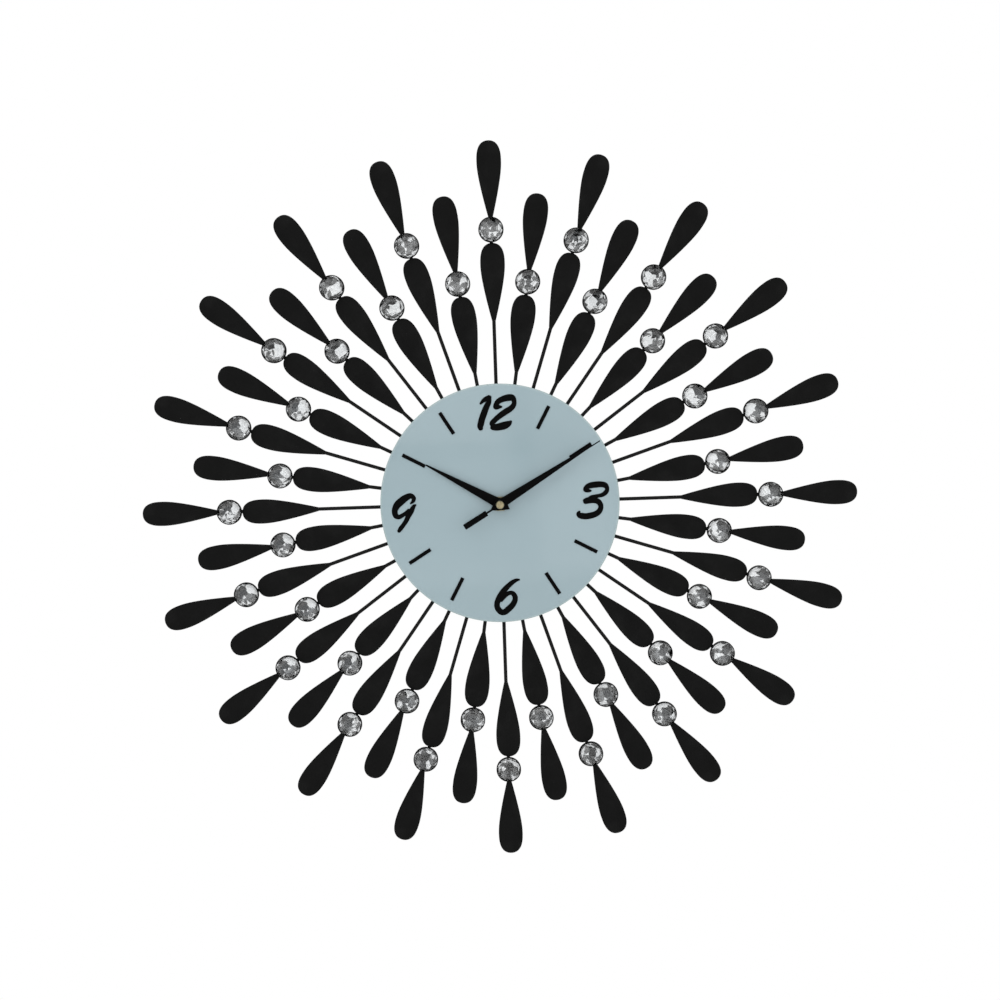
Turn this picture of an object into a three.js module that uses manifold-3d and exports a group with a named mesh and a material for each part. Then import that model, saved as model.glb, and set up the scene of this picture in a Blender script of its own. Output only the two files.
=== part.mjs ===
// A 24 inch sunburst wall clock: a round glass dial on a dished steel hub, forty wire rays that each
// carry two stamped petals and one crystal in its cup, and a quartz movement with its whole gear train.
// Units are millimetres. The clock stands upright with +Z up, its back on the wall plane Y = 0 and its
// face towards -Y. The origin is where the hands' axis meets the wall.
//
// Everything is drawn in the face's own frame and turned upright at the end: x to the right and y up as
// the clock is read, and z the distance from the wall towards the reader.
import * as THREE from "three";
import { mergeVertices } from "three/addons/utils/BufferGeometryUtils.js";
import Module from "manifold-3d";

const wasm = await Module();
wasm.setup();

// ---- driving dimensions ----

const OVERALL_DIAMETER = 609.6;
const OVERALL_DEPTH = 50.8;
const DIAL_DIAMETER = 203.2;
const GAP = 0.3; // between two pieces that rest on each other

// Rays: twenty long ones, with a short one between each two.
const RAY_PAIRS = 20;
const LONG_TIP = OVERALL_DIAMETER / 2;
const SHORT_TIP = 262.7;
const PETAL = { length: 65, width: 20.7, neck: 3.2, shoulder: 16, thickness: 1 };
// The handles of the petal's outline, as shares of its half width, its length and its shoulder.
const PETAL_CURVE = { flare: 1.05, flareAt: 0.56, flank: 0.29, cheek: 0.8, crown: 0.5 };
const PETAL_CURVE_STEPS = 3;
const WIRE_DIAMETER = 3;
const WIRE_SIDES = 5;
const WIRE_START = 56; // the wire's inner end, measured from the clock's axis
const WIRE_IN_PETAL = 8; // how far the wire runs on behind the outer petal
const PETAL_FORWARD = 0.75; // from the wires' middles to the petals' backs
const CUP_BACKWARD = 0.4; // from the petals' backs to the cups' backs
const CUP = { radius: 10.6, depth: 4.4, sides: 8 };
const CRYSTAL = { table: 5.2, height: 3.4 };
const CUP_OVER_PETAL = 1.4; // how far the cup covers the outer petal's neck
const CUP_TO_PETAL = 0.3; // the bare wire between the inner petal's round end and the cup

// The movement's housing.
const CASE = { width: 56, wall: 1.2, back: 1.5, front: 17, shelf: -10.4 };
const COVER_THICKNESS = 1.2;
const SCOOP = { half: 9, front: 9 }; // in the bottom wall, to lift the battery out by
const BUSH = { radius: 4, bore: 2.75, end: 36.9 };
const HANGER = { width: 26, rise: 11, thickness: 3, slotWidth: 10, slotHeight: 5.4, slotBase: 30.2 };
const BATTERY = { radius: 7.1, length: 49, nubRadius: 2.7, nubLength: 1.3, y: -19.2, z: 8.5 };

// Wheel layers: where each gear begins, counted from the wall, and how thick it is.
const GEAR_THICKNESS = 1.2;
const LAYER = { intermediate: 2.2, seconds: 4.2, third: 6.2, centre: 8.2, minute: 10.2, hour: 12.4 };
const PINION_OVERLAP = 0.2; // a pinion is this much longer than its gear at each free end
const CENTRE_HUB = { radius: 2.6, back: 0.4, front: 0.3 }; // what its friction grip adds to the wheel
const ARBOR_RADIUS = 0.45;
const ARBOR = { back: 0.8, front: 15.2 };

// Tooth counts.
const TEETH = {
  rotorPinion: 8,
  intermediate: 48,
  intermediatePinion: 8,
  seconds: 40,
  secondsPinion: 8,
  third: 60,
  thirdPinion: 8,
  centre: 64,
  cannon: 12,
  minute: 36,
  minutePinion: 10,
  hour: 40,
  knob: 12,
};

// Modules. Two gears that share both axes with another pair share its centre distance too.
const MODULE = { rotor: 0.3, seconds: 0.45, centre: 0.3, minute: 0.36 };
const apart = (a, b, module) => ((a + b) * module) / 2;
const THIRD_DISTANCE = apart(TEETH.thirdPinion, TEETH.centre, MODULE.centre);
const INTERMEDIATE_DISTANCE = apart(TEETH.intermediatePinion, TEETH.seconds, MODULE.seconds);
const ROTOR_DISTANCE = apart(TEETH.rotorPinion, TEETH.intermediate, MODULE.rotor);
const MINUTE_DISTANCE = apart(TEETH.cannon, TEETH.minute, MODULE.minute);
const KNOB_DISTANCE = apart(TEETH.knob, TEETH.minute, MODULE.minute);
MODULE.third = (2 * THIRD_DISTANCE) / (TEETH.secondsPinion + TEETH.third);
MODULE.hour = (2 * MINUTE_DISTANCE) / (TEETH.minutePinion + TEETH.hour);

// Directions from one axis to the next, anticlockwise from the face's +x.
const radians = THREE.MathUtils.degToRad;
const TO_THIRD = radians(150);
const TO_INTERMEDIATE = radians(60);
const TO_ROTOR = radians(20);
const TO_MINUTE_WHEEL = radians(-20);
const TO_KNOB = radians(30);

const step = (from, angle, distance) =>
  new THREE.Vector2(from.x + distance * Math.cos(angle), from.y + distance * Math.sin(angle));
const CENTRE_AXIS = new THREE.Vector2(0, 0);
const THIRD_AXIS = step(CENTRE_AXIS, TO_THIRD, THIRD_DISTANCE);
const INTERMEDIATE_AXIS = step(CENTRE_AXIS, TO_INTERMEDIATE, INTERMEDIATE_DISTANCE);
const ROTOR_AXIS = step(INTERMEDIATE_AXIS, TO_ROTOR, ROTOR_DISTANCE);
const MINUTE_WHEEL_AXIS = step(CENTRE_AXIS, TO_MINUTE_WHEEL, MINUTE_DISTANCE);
const KNOB_AXIS = step(MINUTE_WHEEL_AXIS, TO_KNOB, KNOB_DISTANCE);

// The front stack: hub, rays, glass and hands.
const HUB = {
  bore: 4.3,
  floorRadius: 40,
  shoulderRadius: 47,
  radius: 80,
  thickness: 1.2,
  floor: 17.6,
  flange: 24.5,
  bend: 0.9, // how much further in the front of each bend lies
};
const HUB_POST = { radius: 2.6, circle: 66, count: 4, top: 30.7 };
const WIRE_Z = HUB.flange + HUB.thickness + GAP + WIRE_DIAMETER / 2;
const PETAL_Z = WIRE_Z + PETAL_FORWARD;
const CUP_Z = PETAL_Z - CUP_BACKWARD;
const GLASS = { z: 31, thickness: 4, bore: 4.4, chamfer: 0.8 };
const NUT = { acrossFlats: 12, bore: 4.15, z: GLASS.z + GLASS.thickness + GAP, thickness: 1.6 };

const MINUTE_PIPE = { radius: 1.5, bore: 0.8, back: 8, front: 43.4 };
const HOUR_PIPE = { radius: 2.5, bore: 1.7, front: 39.8 };
const SECONDS_ARBOR = { radius: 0.5, front: 48 };
const HAND_THICKNESS = 0.5;
const HAND_COLLAR = { wall: 1, back: 1.4, front: 0.9 }; // the pressed collar that grips the pipe
const HAND_FIT = 0.08; // from a pipe to the hand pressed on it
const ARBOR_FIT = 0.06; // from an arbor or pipe to the wheel or cap on it
const HOUR_HAND = { length: 70.7, tail: 9.6, width: 9.1, tip: 1.3, widest: -3, z: 38.6, hub: 5.2 };
const MINUTE_HAND = { length: 92, tail: 9.8, width: 8.4, tip: 1.4, widest: -3, z: 42.2, hub: 4.6 };
const SECOND_HAND = { length: 99.8, needle: 1.2, z: 46, weightStart: 13.2, weightEnd: 35.6, weight: 5 };
const SECOND_CAP = { radius: 3.5, back: 45.2, front: OVERALL_DEPTH, chamfer: 0.8, crown: 1.6, dome: 0.5 };

// Where the hands point at rest, clockwise from twelve.
const HOUR_ANGLE = radians(-60.3);
const MINUTE_ANGLE = radians(59.1);
const SECOND_ANGLE = radians(59.2);

// ---- materials ----

const finish = (color, roughness, metalness) =>
  new THREE.MeshStandardMaterial({ color, roughness, metalness });
const blackPaint = finish(0x17171a, 0.55, 0.2);
const steel = finish(0x8d9094, 0.4, 1);
const brass = finish(0xb59a5b, 0.35, 1);
const paleGlass = finish(0xb4c6ca, 0.08, 0);
const blackPlastic = finish(0x1b1b1c, 0.5, 0);
const whitePlastic = finish(0xe6e4dc, 0.45, 0);
const copper = finish(0x9c5a34, 0.35, 1);
const batteryWrap = finish(0x3f444c, 0.35, 0.3);

// ---- solids ----

// A closed geometry as a manifold-3d solid.
function solid(geometry) {
  const bare = geometry.index ? geometry.toNonIndexed() : geometry.clone();
  const positions = new THREE.BufferGeometry();
  positions.setAttribute("position", bare.getAttribute("position"));
  const merged = mergeVertices(positions, 1e-4);
  return new wasm.Manifold(
    new wasm.Mesh({
      numProp: 3,
      vertProperties: new Float32Array(merged.attributes.position.array),
      triVerts: new Uint32Array(merged.index.array),
    }),
  );
}

// A manifold-3d solid as a geometry.
function geometryOf(made) {
  const mesh = made.getMesh();
  const geometry = new THREE.BufferGeometry();
  geometry.setAttribute("position", new THREE.BufferAttribute(mesh.vertProperties, 3));
  geometry.setIndex(new THREE.BufferAttribute(mesh.triVerts, 1));
  return geometry;
}

// A flat plate of a shape, from z0 to z1.
function plate(shape, z0, z1, curveSegments = 6) {
  const made = new THREE.ExtrudeGeometry(shape, {
    depth: z1 - z0,
    bevelEnabled: false,
    curveSegments,
  });
  return solid(made.translate(0, 0, z0));
}

function block(x0, x1, y0, y1, z0, z1) {
  const made = new THREE.BoxGeometry(x1 - x0, y1 - y0, z1 - z0);
  return solid(made.translate((x0 + x1) / 2, (y0 + y1) / 2, (z0 + z1) / 2));
}

// A rod along z.
function rod(radius, z0, z1, at = CENTRE_AXIS, sides = 12) {
  const made = new THREE.CylinderGeometry(radius, radius, z1 - z0, sides);
  return solid(made.rotateX(Math.PI / 2).translate(at.x, at.y, (z0 + z1) / 2));
}

// A profile of [radius, z] points, anticlockwise with z up, turned about the z axis.
function turned(profile, sides) {
  const points = profile.map(([r, z]) => new THREE.Vector2(r, z));
  return solid(new THREE.LatheGeometry(points, sides).rotateX(Math.PI / 2));
}

// A ring along z.
function tube(radius, bore, z0, z1, sides = 16) {
  return turned(
    [
      [bore, z0],
      [radius, z0],
      [radius, z1],
      [bore, z1],
      [bore, z0],
    ],
    sides,
  );
}

const joined = (...solids) => solids.reduce((all, next) => all.add(next));

// ---- gears ----

const ADDENDUM = 0.85;
const DEDENDUM = 1.3;
const TOOTH_SHARE = 0.4; // of the pitch, at the pitch circle
const TIP_SHARE = 0.19;
const ROOT_SHARE = 0.5;

// A spur gear's outline, with the middle of one tooth at the angle phase.
function gearShape(teeth, module, phase) {
  const pitchRadius = (teeth * module) / 2;
  const pitch = (2 * Math.PI) / teeth;
  const tip = pitchRadius + ADDENDUM * module;
  const root = pitchRadius - DEDENDUM * module;
  const corners = [
    [root, -ROOT_SHARE / 2],
    [pitchRadius, -TOOTH_SHARE / 2],
    [tip, -TIP_SHARE / 2],
    [tip, TIP_SHARE / 2],
    [pitchRadius, TOOTH_SHARE / 2],
    [root, ROOT_SHARE / 2],
  ].filter((_, i) => teeth <= 12 || (i !== 1 && i !== 4));
  const points = [];
  for (let tooth = 0; tooth < teeth; tooth++)
    for (const [radius, share] of corners) {
      const angle = phase + (tooth + share) * pitch;
      points.push(new THREE.Vector2(radius * Math.cos(angle), radius * Math.sin(angle)));
    }
  return new THREE.Shape(points);
}

const gear = (teeth, module, phase, z0, z1) => plate(gearShape(teeth, module, phase), z0, z1);

// The phase of a gear that meshes with another of the given phase, lying in the given direction from it.
const mate = (teeth, phase, direction, mateTeeth) =>
  direction + Math.PI - (teeth * (phase - direction) + Math.PI) / mateTeeth;

// A wheel of the train: its gear, and its pinion on one side, on a plain arbor, drawn on its own axis.
function wheel(gearSolid, pinionSolid, arborRadius = ARBOR_RADIUS) {
  return joined(gearSolid, pinionSolid, rod(arborRadius, ARBOR.back, ARBOR.front, CENTRE_AXIS, 8));
}

const topOf = (layer) => layer + GEAR_THICKNESS;

function rotor() {
  const pinion = gear(
    TEETH.rotorPinion,
    MODULE.rotor,
    mate(TEETH.intermediate, TO_ROTOR, TO_ROTOR, TEETH.rotorPinion),
    LAYER.intermediate - PINION_OVERLAP,
    topOf(LAYER.intermediate) + PINION_OVERLAP,
  );
  return wheel(pinion, rod(2.6, 5, 9, CENTRE_AXIS, 20));
}

function intermediateWheel() {
  const large = gear(
    TEETH.intermediate,
    MODULE.rotor,
    TO_ROTOR,
    LAYER.intermediate,
    topOf(LAYER.intermediate),
  );
  const pinion = gear(
    TEETH.intermediatePinion,
    MODULE.seconds,
    mate(TEETH.seconds, TO_INTERMEDIATE, TO_INTERMEDIATE, TEETH.intermediatePinion),
    topOf(LAYER.intermediate) - 0.1,
    topOf(LAYER.seconds) + PINION_OVERLAP,
  );
  return wheel(large, pinion);
}

function secondsWheel() {
  const large = gear(
    TEETH.seconds,
    MODULE.seconds,
    TO_INTERMEDIATE,
    LAYER.seconds,
    topOf(LAYER.seconds),
  );
  const pinion = gear(
    TEETH.secondsPinion,
    MODULE.third,
    TO_THIRD,
    topOf(LAYER.seconds) - 0.1,
    topOf(LAYER.third) + 0.1,
  );
  const arbor = rod(SECONDS_ARBOR.radius, ARBOR.back, SECONDS_ARBOR.front, CENTRE_AXIS, 8);
  return joined(large, pinion, arbor);
}

function thirdWheel() {
  const large = gear(
    TEETH.third,
    MODULE.third,
    mate(TEETH.secondsPinion, TO_THIRD, TO_THIRD, TEETH.third),
    LAYER.third,
    topOf(LAYER.third),
  );
  const pinion = gear(
    TEETH.thirdPinion,
    MODULE.centre,
    mate(TEETH.centre, TO_THIRD, TO_THIRD, TEETH.thirdPinion),
    topOf(LAYER.third) - 0.1,
    topOf(LAYER.centre) + PINION_OVERLAP,
  );
  return wheel(large, pinion);
}

// The centre wheel grips the minute pipe by friction alone, so that the hands can be set.
function centreWheel() {
  const large = gear(TEETH.centre, MODULE.centre, TO_THIRD, LAYER.centre, topOf(LAYER.centre));
  const { radius, back, front } = CENTRE_HUB;
  const hub = rod(radius, LAYER.centre - back, topOf(LAYER.centre) + front, CENTRE_AXIS, 16);
  const boreRadius = MINUTE_PIPE.radius + ARBOR_FIT;
  const bore = rod(boreRadius, LAYER.centre - 1, topOf(LAYER.centre) + 1, CENTRE_AXIS, 16);
  return joined(large, hub).subtract(bore);
}

function minutePipe() {
  const cannon = gear(
    TEETH.cannon,
    MODULE.minute,
    TO_MINUTE_WHEEL,
    LAYER.minute - PINION_OVERLAP,
    topOf(LAYER.minute) + PINION_OVERLAP,
  );
  const pipe = rod(MINUTE_PIPE.radius, MINUTE_PIPE.back, MINUTE_PIPE.front, CENTRE_AXIS, 16);
  const bore = rod(MINUTE_PIPE.bore, MINUTE_PIPE.back - 1, MINUTE_PIPE.front + 1, CENTRE_AXIS, 12);
  return joined(cannon, pipe).subtract(bore);
}

const MINUTE_WHEEL_PHASE = mate(TEETH.cannon, TO_MINUTE_WHEEL, TO_MINUTE_WHEEL, TEETH.minute);
const POST_RADIUS = 1;

function minuteWheel() {
  const large = gear(
    TEETH.minute,
    MODULE.minute,
    MINUTE_WHEEL_PHASE,
    LAYER.minute,
    topOf(LAYER.minute),
  );
  const pinion = gear(
    TEETH.minutePinion,
    MODULE.hour,
    mate(TEETH.hour, TO_MINUTE_WHEEL, TO_MINUTE_WHEEL, TEETH.minutePinion),
    topOf(LAYER.minute) - 0.1,
    topOf(LAYER.hour) + PINION_OVERLAP,
  );
  const bore = rod(POST_RADIUS + 0.08, LAYER.minute - 1, topOf(LAYER.hour) + 1, CENTRE_AXIS, 12);
  return joined(large, pinion).subtract(bore);
}

function hourWheel() {
  const large = gear(TEETH.hour, MODULE.hour, TO_MINUTE_WHEEL, LAYER.hour, topOf(LAYER.hour));
  const pipe = rod(HOUR_PIPE.radius, LAYER.hour, HOUR_PIPE.front, CENTRE_AXIS, 20);
  const bore = rod(HOUR_PIPE.bore, LAYER.hour - 1, HOUR_PIPE.front + 1, CENTRE_AXIS, 16);
  return joined(large, pipe).subtract(bore);
}

const KNOB = { radius: 4.6, back: 0.3, thickness: 2.4, shaft: 1.3, ribs: 18, ribDepth: 0.35 };

function settingKnob() {
  const points = [];
  for (let i = 0; i < 2 * KNOB.ribs; i++) {
    const radius = KNOB.radius - (i % 2) * KNOB.ribDepth;
    const angle = (i * Math.PI) / KNOB.ribs;
    points.push(new THREE.Vector2(radius * Math.cos(angle), radius * Math.sin(angle)));
  }
  const grip = plate(new THREE.Shape(points), KNOB.back, KNOB.back + KNOB.thickness);
  const shaft = rod(KNOB.shaft, KNOB.back + 1, topOf(LAYER.minute), CENTRE_AXIS, 12);
  const pivot = rod(ARBOR_RADIUS, LAYER.minute, ARBOR.front, CENTRE_AXIS, 8);
  const pinion = gear(
    TEETH.knob,
    MODULE.minute,
    mate(TEETH.minute, MINUTE_WHEEL_PHASE, TO_KNOB, TEETH.knob),
    LAYER.minute - PINION_OVERLAP,
    topOf(LAYER.minute) + PINION_OVERLAP,
  );
  return joined(grip, shaft, pivot, pinion);
}

// ---- the movement's housing and motor ----

const HALF = CASE.width / 2;
const INSIDE = HALF - CASE.wall;
const FRONT_WALL = CASE.front - CASE.wall;
const BOSS = { radius: 1.5, bore: 0.6, length: 1.4 };

// Bored bosses that the arbors turn in, on the inner face of a wall.
function bosses(axes, wallZ, tipZ, holeZ) {
  const [low, high] = wallZ < tipZ ? [wallZ - 0.3, tipZ] : [tipZ, wallZ + 0.3];
  const [holeLow, holeHigh] = holeZ < tipZ ? [holeZ, tipZ + 0.5] : [tipZ - 0.5, holeZ];
  return {
    posts: joined(...axes.map((at) => rod(BOSS.radius, low, high, at, 10))),
    holes: joined(...axes.map((at) => rod(BOSS.bore, holeLow, holeHigh, at, 8))),
  };
}

function movementCase() {
  const shell = block(-HALF, HALF, -HALF, HALF, CASE.back, CASE.front)
    .subtract(block(-INSIDE, INSIDE, CASE.shelf, INSIDE, CASE.back - 1, FRONT_WALL))
    .subtract(block(-INSIDE, INSIDE, -INSIDE, CASE.shelf - CASE.wall, CASE.back - 1, FRONT_WALL));
  const scoop = block(-SCOOP.half, SCOOP.half, -HALF - 1, -INSIDE + 1, CASE.back - 1, SCOOP.front);
  const front = bosses(
    [THIRD_AXIS, INTERMEDIATE_AXIS, ROTOR_AXIS, KNOB_AXIS],
    FRONT_WALL,
    FRONT_WALL - BOSS.length,
    ARBOR.front + 0.2,
  );
  const post = rod(POST_RADIUS, LAYER.minute - 0.2, FRONT_WALL + 0.3, MINUTE_WHEEL_AXIS, 12);
  const bush = rod(BUSH.radius, FRONT_WALL, BUSH.end, CENTRE_AXIS, 24);
  const bushBore = rod(BUSH.bore, FRONT_WALL - 1, BUSH.end + 1, CENTRE_AXIS, 24);
  return joined(shell.subtract(scoop), front.posts, post, bush, hanger())
    .subtract(front.holes)
    .subtract(bushBore);
}

// The moulded loop that hangs on a nail, level with the back of the case.
function hanger() {
  const half = HANGER.width / 2;
  const top = HALF + HANGER.rise;
  const shape = new THREE.Shape();
  shape.moveTo(-half, HALF - 1);
  shape.lineTo(half, HALF - 1);
  shape.lineTo(half - 3, top - 2);
  shape.quadraticCurveTo(half - 3.6, top, half - 6, top);
  shape.lineTo(-half + 6, top);
  shape.quadraticCurveTo(-half + 3.6, top, -half + 3, top - 2);
  const slot = new THREE.Path();
  const slotHalf = HANGER.slotWidth / 2;
  const slotTop = HANGER.slotBase + HANGER.slotHeight;
  slot.moveTo(-slotHalf, HANGER.slotBase);
  slot.lineTo(-slotHalf, slotTop);
  slot.lineTo(-1.6, slotTop);
  slot.lineTo(0, slotTop + 1.2); // the notch that centres the nail
  slot.lineTo(1.6, slotTop);
  slot.lineTo(slotHalf, slotTop);
  slot.lineTo(slotHalf, HANGER.slotBase);
  shape.holes.push(slot);
  return plate(shape, CASE.back, CASE.back + HANGER.thickness, 3);
}

function movementCover() {
  const panel = block(-HALF, HALF, CASE.shelf - CASE.wall, HALF, 0, COVER_THICKNESS);
  const knobHole = rod(KNOB.radius + 0.6, -1, COVER_THICKNESS + 1, KNOB_AXIS, 24);
  const back = bosses(
    [CENTRE_AXIS, THIRD_AXIS, INTERMEDIATE_AXIS, ROTOR_AXIS],
    COVER_THICKNESS,
    COVER_THICKNESS + 0.6,
    0.5,
  );
  return joined(panel, back.posts).subtract(back.holes).subtract(knobHole);
}

// An AA cell lying along x, its positive nub to the right.
function battery() {
  const { radius, length, nubRadius, nubLength } = BATTERY;
  const cell = turned(
    [
      [0, -length / 2],
      [radius - 0.5, -length / 2],
      [radius, -length / 2 + 0.5],
      [radius, length / 2 - 0.6],
      [radius - 0.6, length / 2],
      [nubRadius, length / 2],
      [nubRadius, length / 2 + nubLength],
      [0, length / 2 + nubLength],
    ],
    20,
  );
  return cell.rotate([0, 90, 0]).translate([-nubLength / 2, 0, 0]);
}

const STATOR = { z: 6.4, thickness: 1, barHalf: 4.4, half: 6, arm: 3, top: 24.6 };
const STATOR_STEP = { low: 15.8, high: 18.4 }; // where its left arm turns out to the coil's far end
const COIL = { radius: 3.1, flange: 3.8, y: 22.6, z: 8.2, left: -6.5, coreWidth: 2.8, core: 1, cheek: 1 };
const ROTOR_HOLE = 3.2;

// The laminated plate that brings the coil's field to the rotor, with the rotor turning in its hole.
function stator() {
  const left = ROTOR_AXIS.x - STATOR.half;
  const right = ROTOR_AXIS.x + STATOR.half;
  const low = ROTOR_AXIS.y - STATOR.barHalf;
  const high = ROTOR_AXIS.y + STATOR.barHalf;
  const farLeft = COIL.left - STATOR.arm;
  const outline = [
    [left, low],
    [right, low],
    [right, STATOR.top],
    [right - STATOR.arm, STATOR.top],
    [right - STATOR.arm, high],
    [left + STATOR.arm, high],
    [left + STATOR.arm, STATOR_STEP.high],
    [COIL.left, STATOR_STEP.high],
    [COIL.left, STATOR.top],
    [farLeft, STATOR.top],
    [farLeft, STATOR_STEP.low],
    [left, STATOR_STEP.low],
  ].map(([x, y]) => new THREE.Vector2(x, y));
  const hole = rod(ROTOR_HOLE, STATOR.z - 1, STATOR.z + 2, ROTOR_AXIS, 24);
  return plate(new THREE.Shape(outline), STATOR.z, STATOR.z + STATOR.thickness).subtract(hole);
}

// The bobbin with its winding, on a flat core whose ends lie on the stator's arms.
function coil() {
  const right = ROTOR_AXIS.x + STATOR.half - STATOR.arm;
  const left = COIL.left;
  const middle = (left + right) / 2;
  const half = (right - left) / 2 - GAP;
  const profile = [
    [0, -half],
    [COIL.flange, -half],
    [COIL.flange, -half + COIL.cheek],
    [COIL.radius, -half + COIL.cheek],
    [COIL.radius, half - COIL.cheek],
    [COIL.flange, half - COIL.cheek],
    [COIL.flange, half],
    [0, half],
  ];
  const bobbin = turned(profile, 16).rotate([0, 90, 0]).translate([middle, COIL.y, COIL.z]);
  const coreHalf = COIL.core / 2;
  const core = block(
    left - STATOR.arm,
    right + STATOR.arm,
    COIL.y - COIL.coreWidth / 2,
    COIL.y + COIL.coreWidth / 2,
    COIL.z - coreHalf,
    COIL.z + coreHalf,
  );
  return joined(bobbin, core);
}

// ---- the hub, the glass and the nut ----

function hubPan() {
  const { bore, floorRadius, shoulderRadius, radius, thickness, floor, flange, bend } = HUB;
  const pan = turned(
    [
      [bore, floor],
      [floorRadius, floor],
      [shoulderRadius, flange],
      [radius, flange],
      [radius, flange + thickness],
      [shoulderRadius - bend, flange + thickness],
      [floorRadius - bend, floor + thickness],
      [bore, floor + thickness],
      [bore, floor],
    ],
    32,
  );
  const posts = [];
  for (let i = 0; i < HUB_POST.count; i++) {
    // each post stands midway between two wires
    const angle = (2 * Math.PI * i) / HUB_POST.count + Math.PI / RAY_PAIRS / 2;
    const at = step(CENTRE_AXIS, angle, HUB_POST.circle);
    posts.push(rod(HUB_POST.radius, flange + 0.2, HUB_POST.top, at, 10));
  }
  return joined(pan, ...posts);
}

function dialGlass() {
  const outer = DIAL_DIAMETER / 2;
  const front = GLASS.z + GLASS.thickness;
  return turned(
    [
      [GLASS.bore, GLASS.z],
      [outer, GLASS.z],
      [outer, front - GLASS.chamfer],
      [outer - GLASS.chamfer, front],
      [GLASS.bore, front],
      [GLASS.bore, GLASS.z],
    ],
    48,
  );
}

function hexNut() {
  const corner = NUT.acrossFlats / 2 / Math.cos(Math.PI / 6);
  const hexagon = rod(corner, NUT.z, NUT.z + NUT.thickness, CENTRE_AXIS, 6);
  return hexagon.subtract(rod(NUT.bore, NUT.z - 1, NUT.z + NUT.thickness + 1, CENTRE_AXIS, 24));
}

// ---- rays ----

// A stamped petal along +y, its narrow neck at y = start.
function petalShape(start) {
  const { length, width, neck, shoulder } = PETAL;
  const { flare, flareAt, flank, cheek, crown } = PETAL_CURVE;
  const half = width / 2;
  const widest = start + length - shoulder;
  const end = start + length;
  const flareY = start + length * flareAt;
  const flankY = widest - shoulder * flank;
  const cheekY = widest + shoulder * cheek;
  const shape = new THREE.Shape();
  shape.moveTo(-neck / 2, start);
  shape.lineTo(neck / 2, start);
  shape.bezierCurveTo(half * flare, flareY, half, flankY, half, widest);
  shape.bezierCurveTo(half, cheekY, half * crown, end, 0, end);
  shape.bezierCurveTo(-half * crown, end, -half, cheekY, -half, widest);
  shape.bezierCurveTo(-half, flankY, -half * flare, flareY, -neck / 2, start);
  return shape;
}

// One ray pointing to twelve: its wire, two petals, and a cup with its crystal set in it.
function ray(tip) {
  const outerNeck = tip - PETAL.length;
  const cupCentre = outerNeck - CUP.radius + CUP_OVER_PETAL;
  const innerNeck = cupCentre - CUP.radius - CUP_TO_PETAL - PETAL.length;
  const wireLength = outerNeck + WIRE_IN_PETAL - WIRE_START;
  const wire = solid(
    new THREE.CylinderGeometry(WIRE_DIAMETER / 2, WIRE_DIAMETER / 2, wireLength, WIRE_SIDES).translate(
      0,
      WIRE_START + wireLength / 2,
      WIRE_Z,
    ),
  );
  const petals = [innerNeck, outerNeck].map((start) =>
    plate(petalShape(start), PETAL_Z, PETAL_Z + PETAL.thickness, PETAL_CURVE_STEPS),
  );
  const rim = CUP_Z + CUP.depth;
  const cup = turned(
    [
      [0, CUP_Z],
      [CUP.radius, CUP_Z],
      [CUP.radius, rim],
      [CRYSTAL.table, rim + CRYSTAL.height],
      [0, rim + CRYSTAL.height],
    ],
    CUP.sides,
  ).translate([0, cupCentre, 0]);
  return joined(wire, ...petals, cup);
}

// ---- hands ----

// A tapered hand along +y: a pointed tail, its widest place near the axis, and a narrow tip.
function bladeShape({ length, tail, width, tip, widest }) {
  const outline = [
    [0, -tail],
    [width / 2, widest],
    [tip / 2, length],
    [-tip / 2, length],
    [-width / 2, widest],
  ].map(([x, y]) => new THREE.Vector2(x, y));
  return new THREE.Shape(outline);
}

function hand(size, pipeRadius) {
  const blade = plate(bladeShape(size), size.z, size.z + HAND_THICKNESS);
  const boss = rod(size.hub, size.z - 0.1, size.z + HAND_THICKNESS, CENTRE_AXIS, 24);
  const { wall, back, front } = HAND_COLLAR;
  const collar = rod(pipeRadius + wall, size.z - back, size.z + front, CENTRE_AXIS, 20);
  const bore = rod(pipeRadius + HAND_FIT, size.z - 2 * back, size.z + 2 * back, CENTRE_AXIS, 20);
  return joined(blade, boss, collar).subtract(bore);
}

function secondHand() {
  const { length, needle, z, weightStart, weightEnd, weight } = SECOND_HAND;
  const outline = [
    [-weight / 2, -weightEnd],
    [weight / 2, -weightEnd],
    [weight / 2, -weightStart],
    [needle / 2, -weightStart],
    [needle / 2, length],
    [-needle / 2, length],
    [-needle / 2, -weightStart],
    [-weight / 2, -weightStart],
  ].map(([x, y]) => new THREE.Vector2(x, y));
  const blade = plate(new THREE.Shape(outline), z, z + HAND_THICKNESS);
  const { radius, back, front, chamfer, crown, dome } = SECOND_CAP;
  const cap = turned(
    [
      [0, back],
      [radius - chamfer, back],
      [radius, back + chamfer],
      [radius, front - crown],
      [radius * 0.8, front - dome],
      [radius * 0.4, front],
      [0, front],
    ],
    20,
  );
  const bore = rod(SECONDS_ARBOR.radius + ARBOR_FIT, back - 1, SECONDS_ARBOR.front + 0.2, CENTRE_AXIS, 12);
  return joined(blade, cap).subtract(bore);
}

// ---- assembly ----

const face = new THREE.Group();
face.rotation.x = Math.PI / 2;

function place(name, made, material, at = CENTRE_AXIS, turn = 0) {
  const geometry = made.isBufferGeometry ? made : geometryOf(made);
  const mesh = new THREE.Mesh(geometry, material);
  mesh.name = name;
  mesh.position.set(at.x, at.y, 0);
  mesh.rotation.z = turn;
  face.add(mesh);
}

place("dial_glass", dialGlass(), paleGlass);
place("hub_pan", hubPan(), blackPaint);
place("hex_nut", hexNut(), brass);

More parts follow.
